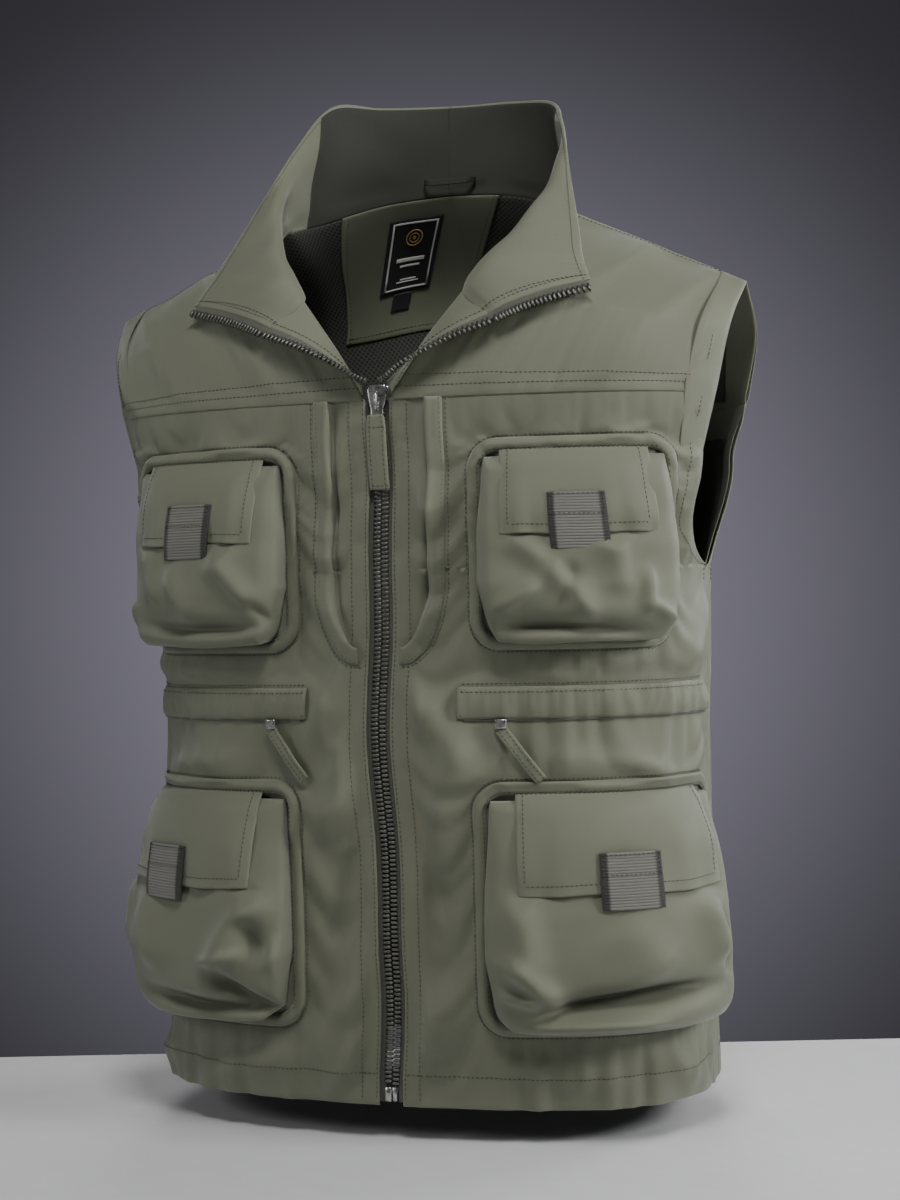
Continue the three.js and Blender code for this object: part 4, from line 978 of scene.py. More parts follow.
def front_yoke_grid(side, columns=90, rows=60):
    """Front yoke's middle surface with its seam lap and soft folds."""
    s, t = stations(columns, 225, 0.7), stations(rows, 140, 0.7)
    grid = front_yoke_point(s[:, None], t[None, :], 3.0, side)
    grid[..., 1] -= 0.9 * np.clip(1 - t * 12, 0, 1)
    normal = grid_normals(grid)
    lift = 1.5 * ripple(51 + int(side), s[:, None] * 225, t[None, :] * 140, 75.0)
    for s0, t0, width, height in ((0.93, 0.35, 0.05, 2.6), (0.62, 0.12, 0.05, 1.6), (0.3, 0.2, 0.05, 1.6)):
        lift = lift + height * np.exp(-((s[:, None] - s0 - 0.25 * (t[None, :] - t0)) / width) ** 2)
    lift = lift + 0.8 * pucker(53, s * 225, 0)[:, None] * np.exp(-t * 140 / 12)[None, :]
    border = np.minimum(np.minimum(s, 1 - s)[:, None] * 16, np.minimum(t, 1 - t)[None, :] * 14)
    return mirrored(grid + normal * (lift * np.clip(border, 0, 1))[..., None], side)


def mirrored(grid, side):
    """The grid on its own side of the vest, turned over so that its normals still point out."""
    return grid if side > 0 else (grid * (-1, 1, 1))[::-1]


class VEST_OT_front_yokes(bpy.types.Operator):
    """Make both front yokes, lapped over the fronts, and their rows of stitching"""

    bl_idname = "vest.front_yokes"
    bl_label = "Front yokes"

    def execute(self, context):
        thick = context.scene.vest_cloth.thickness
        for word, side in SIDES:
            grid = front_yoke_grid(side)
            front = opening_of(word)
            add_piece(f"front_yoke_cloth_{word}", slab(grid, thick), olive(), None,
                      (f"front_yoke_{word}",), opening=front)
            rows = [stitched(grid, row=k, lift=1.0) for k in (3, 6)]
            rows.append(stitched(grid, row=-3, lift=1.0))
            arm = -8 if side > 0 else 7
            rows.append(stitched(grid, column=arm, lift=1.0))
            add_piece(f"front_yoke_stitching_{word}", joined(rows), thread(), None, opening=front)
            kept = slice(4, -20) if side > 0 else slice(20, -4)
            inner = (grid - 2.6 * grid_normals(grid))[kept, 6:-3]
            add_piece(f"front_yoke_lining_{word}", slab(inner, LINING_THICK), lining_cloth(),
                      None, opening=front)
        return {"FINISHED"}


COLLAR_ROUND, COLLAR_TALL = 840, 110     # round the neck and up from the seam, in mm
COLLAR_LAP = 0.504                       # each half ends here, a little past the nape
COLLAR_UNDER = -0.10                     # and starts this far below the neck seam


def collar_half(side, s0, s1, t0, t1, columns, rows, inward=0.0):
    """Part of the collar's surface with its soft unevenness, counted from the corner on its side."""
    s = s0 + (s1 - s0) * stations(columns, COLLAR_ROUND * (s1 - s0), 0.7)
    t = t0 + (t1 - t0) * stations(rows, COLLAR_TALL * (t1 - t0), 0.7)
    round_neck = s if side > 0 else 1 - s
    grid = collar_point(round_neck[:, None], t[None, :])
    grid = grid if side > 0 else grid[::-1]
    s_at = (s if side > 0 else s[::-1])[:, None]
    lift = 1.6 * ripple(61 + int(side), s_at * COLLAR_ROUND, t[None, :] * 100, 75.0)
    lift = lift + 0.5 * pucker(62, s_at * COLLAR_ROUND, 0) * np.exp(-(1 - t) * 90 / 9)[None, :]
    border = np.minimum(np.minimum(s_at * 14, (0.5 - s_at) * 14), np.minimum(t * 9, (1 - t) * 9)[None, :])
    return grid + grid_normals(grid) * (lift * np.clip(border, 0, 1) - inward)[..., None]


class VEST_OT_collar(bpy.types.Operator):
    """Make the collar in two halves that meet at the nape, rolled open at the front"""

    bl_idname = "vest.collar"
    bl_label = "Collar"

    def execute(self, context):
        for word, side in SIDES:
            grid = collar_half(side, 0.0, COLLAR_LAP, COLLAR_UNDER, 1.0, 150, 50)
            front = opening_of(word)
            nodes = ("collar",) if side > 0 else ()
            add_piece(f"collar_cloth_{word}", slab(grid, 1.8), olive(), None, nodes,
                      opening=front)
            # Painted shade: a very dark sheet just inside the back half of the collar, where its inside lies
            # in shadow.
            lining = collar_half(side, 0.335, COLLAR_LAP, COLLAR_UNDER + 0.01, 0.972, 70, 40, inward=1.5)
            add_piece(f"collar_painted_shade_{word}", slab(lining, 0.8), dark_olive(), None,
                      opening=front)
            edge = 5 if side > 0 else -6
            rows = [stitched(grid, column, row, 1.25, way)
                    for column, row in ((None, -4), (edge, None)) for way in (1.0, -1.0)]
            add_piece(f"collar_stitching_{word}", joined(rows), thread(), None, opening=front)
        return {"FINISHED"}


# ---- Operators: lapels and zips --------------------------------------------------------------
def open_edge(share):
    """Left free edge from the slider up: the lapel, then the front of the collar."""
    share = np.asarray(share, float)
    lapel = np.clip(share / 0.55, 0, 1)
    up = np.clip((share - 0.55) / 0.45, 0, 1)
    on_lapel = (share < 0.55)[..., None]
    zip_at = spline(ZIP_LINE, lapel)
    collar = collar_point(0 * up, up)
    at = np.where(on_lapel, zip_at, collar)
    out = np.where(on_lapel, zip_at - spline(ROLL_LINE, lapel), collar - collar_point(0 * up + 0.02, up))
    return at, out / np.linalg.norm(out, axis=-1, keepdims=True)


def edge_frame(share):
    """Points of the open edge with the tangent, the way out in the cloth and the cloth's normal."""
    at, out = open_edge(share)
    for _ in range(6):
        out[1:-1] = (out[:-2] + 2 * out[1:-1] + out[2:]) / 4
    tangent = along_path(at)
    normal = np.cross(tangent, out)
    normal /= np.linalg.norm(normal, axis=-1, keepdims=True)
    return at, tangent, np.cross(normal, tangent), normal


OCTAGON = ((-1, -0.7), (-0.7, -1), (0.7, -1), (1, -0.7), (1, 0.7), (0.7, 1), (-0.7, 1), (-1, 0.7))


def stacked_faces(rings):
    """Quads of a stack of eight-cornered rings: its walls, and three across each end."""
    cell = []
    for k in range(rings - 1):
        for i in range(8):
            j = (i + 1) % 8
            cell.append((k * 8 + i, k * 8 + j, (k + 1) * 8 + j, (k + 1) * 8 + i))
    last = (rings - 1) * 8
    for i in (0, 2, 4):
        cell.append((last, last + i + 1, last + i + 2, last + (i + 3) % 8))
        cell.append((0, (i + 3) % 8, i + 2, i + 1))
    return np.array(cell)


def teeth(at, out, normal, tangent):
    """A chain of moulded teeth: each a tapered block with a head, at every pitch along the edge."""
    profile = np.array([(-0.6, 0.75), (1.6, 0.95), (3.0, 1.15), (4.0, 1.0), (4.6, 0.55)])
    rings = []
    for reach, half in profile:
        thick = 1.7 if reach < 3.5 else 1.35
        ring = [at + out * reach + tangent * half * a + normal * thick * b for a, b in OCTAGON]
        rings.append(np.stack(ring, axis=1))
    verts = np.stack(rings, axis=1).reshape(len(at), -1, 3)
    starts = verts.shape[1] * np.arange(len(at))
    faces = (stacked_faces(len(profile))[None] + starts[:, None, None]).reshape(-1, 4)
    return bare(verts.reshape(-1, 3), faces)


class VEST_OT_lapels(bpy.types.Operator):
    """Make the lapels and the open part of the zip along their free edges"""

    bl_idname = "vest.lapels"
    bl_label = "Lapels and open zip"

    def execute(self, context):
        trim = context.scene.vest_trim
        for word, side in SIDES:
            front = opening_of(word)
            up = stations(60, 110, 0.7)
            across = stations(16, 24, 0.5)
            roll, free = spline(ROLL_LINE, 0.02 + 0.97 * up), spline(ZIP_LINE, 0.02 + 0.97 * up)
            grid = roll[None] + (free - roll)[None] * across[:, None, None]
            grid = mirrored(grid, side)
            add_piece(f"lapel_cloth_{word}", slab(grid, 1.3), olive(), None,
                      (f"lapel_{word}",), opening=front)
            share = np.linspace(0.02, 0.985, 260)
            at, tangent, out, normal = edge_frame(share)
            flip = (side, 1, 1)
            reach = stations(8, 6.5, 0.3) * 6.5 - 1.0
            tape = (at[:, None] + out[:, None] * reach[None, :, None]) * flip
            add_piece(f"open_zip_tape_{word}", slab(tape if side > 0 else tape[::-1], TAPE_THICK),
                      tape_cloth(), None, (f"zip_tape_upper_{word}",), opening=front)
            length = np.linalg.norm(np.diff(at, axis=0), axis=-1).sum()
            count = int(length / trim.tooth_pitch)
            pick = np.linspace(0.3, len(share) - 1.3, count)
            low = pick.astype(int)
            mix = (pick - low)[:, None]
            a, o, n, t = (v[low] * (1 - mix) + v[low + 1] * mix for v in (at, out, normal, tangent))
            chain = teeth((a + o * 4.6) * flip, o * flip, n * flip, t * np.array(flip) * side)
            add_piece(f"open_zip_teeth_{word}", chain, teeth_metal(), None,
                      (f"zip_teeth_upper_{word}",), opening=front)
            rows = [stitches((at - out * 5 + normal * way * 1.1) * flip, normal * way * flip)
                    for way in (1, -1)]
            add_piece(f"open_zip_stitching_{word}", joined(rows), thread(), None, opening=front)
        return {"FINISHED"}


ZIP_DEPTH = -(1.2 + 1.2 + 0.5)           # middle of the tape behind the fronts


class VEST_OT_centre_zip(bpy.types.Operator):
    """Make the closed zip: tapes, meshing teeth, end box and pin, slider and cloth pull"""

    bl_idname = "vest.centre_zip"
    bl_label = "Centre zip"

    def execute(self, context):
        trim = context.scene.vest_trim
        for word, side in SIDES:
            u = 4.6 + stations(8, 15, 0.4) * 15
            z = 2 + stations(150, YOKE - 6, 0.5) * (YOKE - 6)
            tape = on_body("front", side * u[:, None], z[None, :], ZIP_DEPTH)
            tape[..., 0] += zip_sway(z)[None, :]
            tape = tape if side > 0 else tape[::-1]
            add_piece(f"zip_tape_cloth_{word}", slab(tape, TAPE_THICK), tape_cloth(),
                      f"front_{word}", (f"zip_tape_{word}",))
            start = 15.0 + (0 if side > 0 else trim.tooth_pitch / 2)
            z = np.arange(start, YOKE - 3, trim.tooth_pitch)
            at = np.stack([side * 4.9 + zip_sway(z), np.full_like(z, -FRONT_DEPTH - ZIP_DEPTH), z], axis=-1)
            out = np.tile((-side, 0.0, 0.0), (len(z), 1))
            normal = np.tile((0.0, -1.0, 0.0), (len(z), 1))
            tangent = np.tile((0.0, 0.0, side), (len(z), 1))
            add_piece(f"zip_chain_{word}", teeth(at, out, normal, tangent), teeth_metal(),
                      f"front_{word}", (f"zip_teeth_{word}",))
        ends = (("pin", "zip_pin_left", 1.9, 1.6, 1.9, "front_left"),
                ("box", "zip_box_right", -2.6, 2.3, 2.6, "front_right"))
        for kind, node, x, half, deep, body in ends:
            add_piece(f"zip_{kind}_metal", block((x, -FRONT_DEPTH - ZIP_DEPTH, 7.5), (half, deep, 5.0), 0.5),
                      bright_metal(), body, (node,))
        self.slider()
        return {"FINISHED"}

    def slider(self):
        """Two waisted plates joined by a post, a bail over the front one, and the cloth pull."""
        middle = -FRONT_DEPTH - ZIP_DEPTH
        low, high = YOKE - 18, YOKE + 8
        parts = []
        for way in (-1, 1):
            across, up = stations(12, 14, 0.4), stations(22, 26, 0.4)
            shoulder = 2.8 * np.clip((up - 0.35) / 0.5, 0, 1) ** 0.8
            width = 4.6 + shoulder - 1.2 * np.clip((up - 0.9) / 0.1, 0, 1)
            x = (2 * across[:, None] - 1) * width[None, :]
            y = np.full_like(x, middle + way * 3.5) - way * 0.5 * (x / 7) ** 2
            grid = np.stack([x, y, low + (high - low) * up[None, :] + 0 * x], axis=-1)
            parts.append(slab(grid, 1.5))
        parts.append(block((0.0, middle, high - 2.2), (0.8, 3.6, 1.8), 0.4))
        turn = np.linspace(0, math.pi, 16)
        bail = (0 * turn, middle - 3.6 - 3.4 * np.sin(turn), low + 14.5 - 6.5 * np.cos(turn))
        parts.append(tube(np.stack(bail, axis=-1), 1.0))
        add_piece("slider_metal", joined(parts), bright_metal(), "main_slider", ("main_slider",))
        across, down = stations(14, 15, 0.5), stations(44, 53, 0.5)
        x = (2 * across[:, None] - 1) * (7.2 - 1.6 * np.exp(-down * 14))[None, :]
        z = low + 5 - 52 * down
        y = middle - 6.6 + 2.2 * down ** 2 - 0.5 * np.cos(x / 7.2 * 1.5)
        pull = np.stack([x + 1.4 * down ** 2, y, z[None, :] + 0 * x], axis=-1)
        add_piece("zip_pull_cloth", slab(pull[::-1], 2.2), olive(), "main_pull",
                  ("main_pull",))
        rows = [stitched(pull[::-1], column=k, lift=1.3) for k in (3, -4)]
        rows += [stitched(pull[::-1], row=k, lift=1.3) for k in (8, -4)]
        add_piece("zip_pull_stitching", joined(rows), thread(), "main_pull")


def block(centre, half, bevel):
    """Box with chamfered edges: two rings at each end, closed by end faces."""
    rings = []
    for z, cut in ((-1, 1), (-1, 0), (1, 0), (1, 1)):
        level = z * (half[2] - (bevel if cut == 0 else 0))
        grow = -bevel if cut else 0.0
        a, b = half[0] + grow, half[1] + grow
        c = bevel
        rings.append([(-a + c, -b, level), (a - c, -b, level), (a, -b + c, level), (a, b - c, level),
                      (a - c, b, level), (-a + c, b, level), (-a, b - c, level), (-a, -b + c, level)])
    verts = np.array(rings).reshape(-1, 3) + centre
    return bare(verts, stacked_faces(len(rings)))


def tube(path, radius, sides=10):
    """Round tube along a path, closed by small rings at its ends."""
    tangent = along_path(path)
    guide = np.array((1.0, 0.0, 0.0))
    first = np.cross(tangent, guide)
    first /= np.linalg.norm(first, axis=-1, keepdims=True)
    second = np.cross(tangent, first)
    turn = np.linspace(0, 2 * math.pi, sides, endpoint=False)
    swell = np.full(len(path), float(radius))
    swell[[0, -1]] = radius * 0.05
    ring = first[:, None] * np.cos(turn)[None, :, None] + second[:, None] * np.sin(turn)[None, :, None]
    verts = path[:, None] + ring * swell[:, None, None]
    index = np.arange(len(path) * sides).reshape(len(path), sides)
    faces = quads(np.concatenate([index, index[:, :1]], axis=1))
    caps = []
    for row in (index[0], index[-1][::-1]):
        caps += [(row[0], row[i + 1], row[i + 2], row[i + 3]) for i in range(0, sides - 2, 2)]
    return bare(verts.reshape(-1, 3), np.concatenate([faces, np.array(caps)]))


# ---- Operators: pockets ----------------------------------------------------------------------
def ring_line(pocket, inward, count=300):
    """Rounded rectangle `inward` of the pocket's outline, from arcs and straight sides."""
    radius = max(RING_CORNER - inward, 2.0)
    half_u = pocket["width"] / 2 - inward - radius
    half_z = pocket["height"] / 2 - inward - radius
    turn = np.linspace(0, math.pi / 2, 24)
    arcs = []
    for k, (su, sz) in enumerate(((1, 1), (-1, 1), (-1, -1), (1, -1))):
        angle = turn + k * math.pi / 2
        arcs.append(np.stack([su * half_u + radius * np.cos(angle),
                              sz * half_z + radius * np.sin(angle)], axis=-1))
    line = np.concatenate([*arcs, arcs[0][:1]])
    length = np.concatenate([[0], np.cumsum(np.linalg.norm(np.diff(line, axis=0), axis=-1))])
    at = np.linspace(0, length[-1], count, endpoint=False)
    u = np.interp(at, length, line[:, 0]) + pocket["inner"] + pocket["width"] / 2
    z = np.interp(at, length, line[:, 1]) + pocket["low"] + pocket["height"] / 2
    return u, z


def pocket_ring(side, pocket):
    """Welt round a pocket: a low arch carried round the rounded rectangle."""
    share = stations(9, RING_SHOWN, 0.5)
    lines = [ring_line(pocket, RING_SHOWN * v - 1.0) for v in share]
    u = np.stack([line[0] for line in lines], axis=1)
    z = np.stack([line[1] for line in lines], axis=1)
    arch = 1.3 + 2.9 * np.sin(math.pi * share ** 0.85) ** 0.7
    return cloth_at("front", side * u, z, arch[None, :] + 0.35 * ripple(71, u, z, 24.0))


def bag_profile(points, count):
    """Evenly spaced points along a polyline of (share, depth) corners, rounded by averaging."""
    points = np.asarray(points, float)
    scale = np.array((1.0, 0.22))
    length = np.concatenate([[0], np.cumsum(np.linalg.norm(np.diff(points, axis=0) * scale, axis=-1))])
    at = np.linspace(0, length[-1], count)
    line = np.stack([np.interp(at, length, points[:, k]) for k in range(2)], axis=-1)
    for _ in range(3):
        line[1:-1] = (line[:-2] + 2 * line[1:-1] + line[2:]) / 4
    return line


BAG_HALF = ((0, 0), (0, 0.7), (0.06, 0.95), (0.16, 1), (0.38, 1), (0.5, 1))
BAG_ROWS = ((0, 0), (0, 0.72), (0.05, 0.96), (0.28, 1), (0.5, 0.90), (0.75, 0.62), (1, 0.24))
BAG_FOLDS = {"chest": 1.3, "lower": 1.9}  # strength of the folds below
# Folds of each hung bag, from (a, h) to (a, h) out from its zip side and up from its lowest edge.
BAG_STROKES = {
    ("chest", "left"): (
        (54, 64, 86, 18, 7, 4.6), (52, 42, 16, 20, 5, 3.8), (33, 78, 54, 60, 7, 3.0),
        (97, 78, 101, 34, 8, 4.0), (114, 56, 113, 20, 4, 3.4), (113, 32, 131, 17, 4, 3.6),
        (14, 20, 120, 15, 5, -8.0), (70, 58, 66, 24, 6, -3.6),
    ),
    ("chest", "right"): (
        (54, 66, 18, 24, 7, 4.4), (26, 34, 8, 14, 4, -4.0), (92, 60, 70, 18, 8, 4.0),
        (112, 80, 104, 32, 8, 3.4), (116, 16, 14, 13, 5, -7.0), (40, 80, 60, 54, 8, 3.0),
        (126, 40, 134, 20, 4, 3.0),
    ),
    ("lower", "left"): (
        (22, 62, 60, 25, 7, 5.2), (34, 100, 46, 42, 12, 4.2), (18, 35, 46, 27, 4, 3.6),
        (38, 24, 156, 37, 6, -9.5), (30, 12, 120, 14, 4, 4.0), (150, 96, 164, 46, 9, 4.4),
        (100, 84, 124, 44, 16, 3.0), (166, 80, 178, 30, 6, -3.8),
    ),
    ("lower", "right"): (
        (62, 36, 10, 8, 5, -6.5), (22, 100, 64, 46, 11, 5.0), (18, 66, 5, 20, 8, 3.6),
        (38, 78, 24, 46, 9, -4.4), (120, 14, 12, 10, 5, -7.0), (66, 42, 30, 52, 4, 3.0),
        (126, 90, 112, 30, 12, 3.8), (160, 100, 168, 40, 9, 3.6),
    ),
}


def flat_bag(pocket, columns, rows):
    """The bag before it hangs: an open-topped tub in (u, z, d), its walls rounded over."""
    inset = RING_WIDTH + 0.6
    across = bag_profile([*BAG_HALF, *((1 - s, d) for s, d in BAG_HALF[-2::-1])], columns)
    up = bag_profile(BAG_ROWS, rows)
    wide = pocket["width"] - 2 * inset
    tall = pocket["height"] - inset - BAG_MOUTH
    us, zs = across[:, 0][:, None], up[:, 0][None, :]
    near = np.maximum(0, np.abs(2 * us - 1) - 0.8) / 0.2
    corner = 7.0 * np.maximum(0, 1 - zs / 0.3) * near
    shoulder = 4.0 * np.maximum(0, zs - 0.6) / 0.4 * near
    u = pocket["inner"] + inset + wide * us + np.sign(0.5 - us) * (corner + shoulder)
    sag = 6.0 * np.exp(-zs / 0.10) * up[:, 1][None, :] * (1 - np.abs(2 * us - 1) ** 4)
    z = pocket["low"] + inset + tall * zs + corner - sag
    d = 1.2 + (pocket["depth"] - 1.0) * across[:, 1][:, None] * up[:, 1][None, :]
    return np.stack(np.broadcast_arrays(u, z, d), axis=-1)


def hung(grid, held, slack, pressure, bending, frames, name):
    """Cloth simulation of a grid in (u, z, d): `held` points stay, the rest has slack and weight."""
    scene = bpy.context.scene
    flat = np.stack([grid[..., 0], -grid[..., 2], grid[..., 1]], axis=-1).reshape(-1, 3) * 0.001
    index = np.arange(len(flat)).reshape(grid.shape[:2])
    mesh = bpy.data.meshes.new(name)
    mesh.from_pydata(flat.tolist(), [], quads(index).tolist())
    piece = bpy.data.objects.new(name, mesh)
    scene.collection.objects.link(piece)
    piece.vertex_groups.new(name="held").add(index[held].tolist(), 1.0, "REPLACE")
    cloth = piece.modifiers.new("Cloth", "CLOTH")
    settings = cloth.settings
    settings.quality = 6
    settings.mass = 0.2
    settings.tension_stiffness = settings.compression_stiffness = 15
    settings.shear_stiffness = 5
    settings.bending_stiffness = bending
    settings.vertex_group_mass = "held"
    settings.shrink_min = -slack
    settings.use_pressure = True
    settings.uniform_pressure_force = pressure
    cloth.collision_settings.use_collision = False
    cloth.collision_settings.use_self_collision = False
    cloth.point_cache.frame_start, cloth.point_cache.frame_end = 1, frames
    for step in range(1, frames + 1):
        scene.frame_set(step)
    done = piece.evaluated_get(bpy.context.evaluated_depsgraph_get()).to_mesh()
    flat = np.empty(len(done.vertices) * 3)
    done.vertices.foreach_get("co", flat)
    piece.to_mesh_clear()
    bpy.data.objects.remove(piece)
    bpy.data.meshes.remove(mesh)
    scene.frame_set(1)
    flat = flat.reshape(*grid.shape) * 1000
    return np.stack([flat[..., 0], flat[..., 2], -flat[..., 1]], axis=-1)


def border_of(shape):
    """True round the edge of a grid."""
    edge = np.ones(shape, bool)
    edge[1:-1, 1:-1] = False
    return edge


def middle_of(pocket):
    """How far the pocket's middle is from the zip."""
    return pocket["inner"] + pocket["width"] / 2


def flap_seam(pocket):
    """Height of the seam that the pocket's flap hangs from."""
    return pocket["low"] + pocket["height"] - RING_WIDTH - 1.2


def flap_line(pocket, q):
    """Depth and height of the flap's middle at q down its length: over the edge, then down."""
    reach, drop = pocket["reach"] - 9.0, pocket["drop"]
    points = np.array([(2.4, 1.5), (0.26 * reach, -4), (0.45 * reach, -11), (0.62 * reach, -21),
                       (0.78 * reach, -34), (0.90 * reach, -0.8 * drop), (0.96 * reach, -drop)])
    length = np.concatenate([[0], np.cumsum(np.linalg.norm(np.diff(points, axis=0), axis=-1))])
    at = np.interp(q * length[-1], length, np.linspace(0, 1, len(points)))
    line = spline(np.column_stack([points, 0 * points[:, 0]]), at)
    return line[..., 0], flap_seam(pocket) + line[..., 1]


def flap_grid(side, pocket, seed, columns=90, rows=64):
    """Flap's middle surface: it falls away at its ends, flares at its corners and dips at the tab."""
    across, q = stations(columns, pocket["flap"], 0.6), stations(rows, 90, 0.6)
    off = (across - 0.5)[:, None]
    d, z = (v[None, :] + 0 * off for v in flap_line(pocket, q))
    down = q[None, :]
    ends = np.clip((np.abs(off) - 0.30) / 0.2, 0, 1) ** 2
    d = d - ends * 5.0 * np.clip(down * 3, 0, 1) * (1 - 0.55 * down)
    d = d + 1.5 * ripple(seed, off * pocket["flap"], z, 42.0) * down
    d = d + 0.7 * np.sin(off * 34 + seed) * down ** 2 * (1 - np.exp(-(off / 0.12) ** 2))
    d = d - 1.6 * np.exp(-(off / 0.2) ** 2) * down ** 3
    z = z - 0.8 * np.sin(off * 9 + seed) * down ** 2
    u = middle_of(pocket) + off * pocket["flap"] * (1 - 0.03 * down)
    grid = cloth_at("front", side * u, z, d, follow=0.0)
    return grid[::-1] if side > 0 else grid


def offset(grid, distance):
    """The grid moved out along its normals."""
    return grid + grid_normals(grid) * distance


def under_flap(pocket, z):
    """Greatest depth the bag may have at height z, so that the closed flap lies clear over it."""
    q = np.linspace(0, 1, 60)
    depth, height = flap_line(pocket, q)
    limit = np.interp(z, height[::-1], depth[::-1], left=60.0) - 2.6
    below = height[-1]
    return np.where(z < below, depth[-1] - 2.6 + (below - z) * 0.8, limit)


def pocket_bag(kind, word, side, pocket, seed):
    """The hung bag in place on its front, with its folds, kept under its flap."""
    flat = flat_bag(pocket, BAG_GRID, BAG_GRID)
    us = np.linspace(0, 1, BAG_GRID)[:, None]
    zs = np.linspace(0, 1, BAG_GRID)[None, :]
    inside = (16 * us * (1 - us) * zs * (1 - zs)) ** 0.5
    flat[..., 2] += inside * 2.0 * ripple(seed, us * 150, zs * 140, 46.0)
    flat[..., 1] += inside * 1.5 * ripple(seed + 3, us * 150, zs * 140, 60.0)
    cloth = bpy.context.scene.vest_cloth
    grid = hung(flat, border_of(flat.shape[:2]), cloth.slack, 0.10, 0.3, 30, f"bag_{seed}")
    out, up = grid[..., 0] - pocket["inner"], grid[..., 1] - pocket["low"]
    deep = np.clip(grid[..., 2] / pocket["depth"], 0, 1)
    grid[..., 2] += BAG_FOLDS[kind] * cloth.folds * deep * strokes_at(BAG_STROKES[kind, word], out, up)
    grid[..., 2] = np.maximum(grid[..., 2], 1.0)
    grid[..., 2] = np.minimum(grid[..., 2], under_flap(pocket, grid[..., 1]))
    points = cloth_at("front", side * grid[..., 0], grid[..., 1], grid[..., 2],
                      follow=np.exp(-grid[..., 2] / 6.0))
    return points if side > 0 else points[::-1]


class VEST_OT_cargo_pockets(bpy.types.Operator):
    """Make the chest and lower pockets: welt ring and hung bag, with their stitching"""

    bl_idname = "vest.cargo_pockets"
    bl_label = "Cargo pockets"

    def execute(self, context):
        for k, (kind, pocket) in enumerate((("chest", CHEST), ("lower", LOWER))):
            for word, side in SIDES:
                body = f"front_{word}"
                ring = pocket_ring(side, pocket)
                add_piece(f"{kind}_ring_{word}", slab(ring, 1.2, loop=True), olive(), body,
                          (f"{kind}_binding_{word}",))
                rows = []
                for inward in (-2.6, 6.4):
                    u, z = ring_line(pocket, inward, 500)
                    rows.append(body_stitches("front", side * np.append(u, u[0]), np.append(z, z[0]),
                                              1.0 if inward < 0 else 4.1))
                add_piece(f"{kind}_ring_stitching_{word}", joined(rows), thread(), body)
                bag = pocket_bag(kind, word, side, pocket, 80 + 10 * k + int(side))
                piece = add_piece(f"{kind}_bag_cloth_{word}", slab(bag, 0.9), olive(), body,
                                  (f"{kind}_bag_{word}",))
        return {"FINISHED"}


class VEST_OT_flaps(bpy.types.Operator):
    """Make the pocket flaps with their ribbed tabs, closing strips and stitching"""

    bl_idname = "vest.flaps"
    bl_label = "Pocket flaps"

    def execute(self, context):
        for k, (kind, pocket) in enumerate((("chest", CHEST), ("lower", LOWER))):
            for word, side in SIDES:
                seed = 120 + 10 * k + int(side)
                body = f"{kind}_flap_{word}"
                grid = flap_grid(side, pocket, seed)
                piece = self.hinged(f"{kind}_flap_cloth_{word}", slab(grid, 1.5), olive(), "pocket_cloth",
                                    kind, word, side, pocket, (f"{kind}_flap_{word}",))
                near = round(7.0 / pocket["flap"] * 90) + 1
                rows = [stitched(grid[:, 2:-8], column=k, lift=1.0) for k in (near, -near)]
                rows += [stitched(grid[near:-near], row=-8, lift=1.0), stitched(grid, row=2, lift=1.0)]
                self.hinged(f"{kind}_flap_stitching_{word}", joined(rows), thread(), "binding",
                            kind, word, side, pocket)
                self.tab(kind, word, side, pocket, grid, body)
                low, high = pocket["flap"] / 2 - 30, pocket["flap"] / 2 + 30
                a, b = (int(90 * v / pocket["flap"]) for v in (low, high))
                strip = offset(grid[a:b + 1, 44:59], -1.6)
                add_piece(f"{kind}_hook_strip_{word}", slab(strip, 1.0), tape_cloth(), body,
                          (f"{kind}_hook_patch_{word}",))
        return {"FINISHED"}

    def hinged(self, name, mesh_parts, material, slot, kind, word, side, pocket, nodes=()):
        """A piece of the flap, fixed in place with its transform applied."""
        piece = add_mesh(name, mesh_parts, material)
        at = (side * middle_of(pocket), flap_seam(pocket))
        inner, outer = (cloth_at("front", *at, reach, follow=0.0) for reach in (2.0, 11.0))
        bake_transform(piece)
        stand_for(nodes)
        return piece

    def tab(self, kind, word, side, pocket, grid, body):
        """Ribbed webbing tab that hangs over the flap's lower edge."""
        across = stations(24, TAB_WIDTH, 0.4) - 0.5
        up = stations(150, TAB_HEIGHT, 0.3)
        bottom = flap_seam(pocket) - pocket["drop"] - TAB_OVERHANG
        z = bottom + TAB_HEIGHT * up[None, :] + 0 * across[:, None]
        depths, heights = flap_line(pocket, np.linspace(1, 0, 80))
        rib = np.abs(np.sin(math.pi * TAB_RIBS * up))[None, :]
        lean = 1.5 * (1 - up)[None, :] ** 2
        d = np.interp(z, heights, depths) + 1.6 + 0.95 * rib * (np.abs(across) < 0.44)[:, None] - lean * 0.6
        u = middle_of(pocket) + across[:, None] * TAB_WIDTH + 0 * up[None, :] + 1.2 * (1 - up)[None, :] ** 2
        tab = cloth_at("front", side * u, z, d, follow=0.0)
        tab = tab if side > 0 else tab[::-1]
        # Painted shade in the grooves between the ribs and painted highlight on their crowns; the side
        # borders darker.
        shade = 0.15 + 0.85 * rib + 0 * across[:, None]
        shade = np.where(np.abs(across)[:, None] < 0.40, shade, 0.25)
        add_piece(f"{kind}_tab_webbing_{word}", slab(tab, 1.6, wear_and_rib_shade=shade), ribbed_finish(), body,
                  (f"{kind}_tab_{word}",))
        rows = [stitched(tab, row=-6, lift=1.5), stitched(tab, row=-60, lift=1.5)]
        rows += [stitched(tab[:, 88:], column=c, lift=1.2) for c in (2, -3)]
        add_piece(f"{kind}_tab_stitching_{word}", joined(rows), thread(), body)


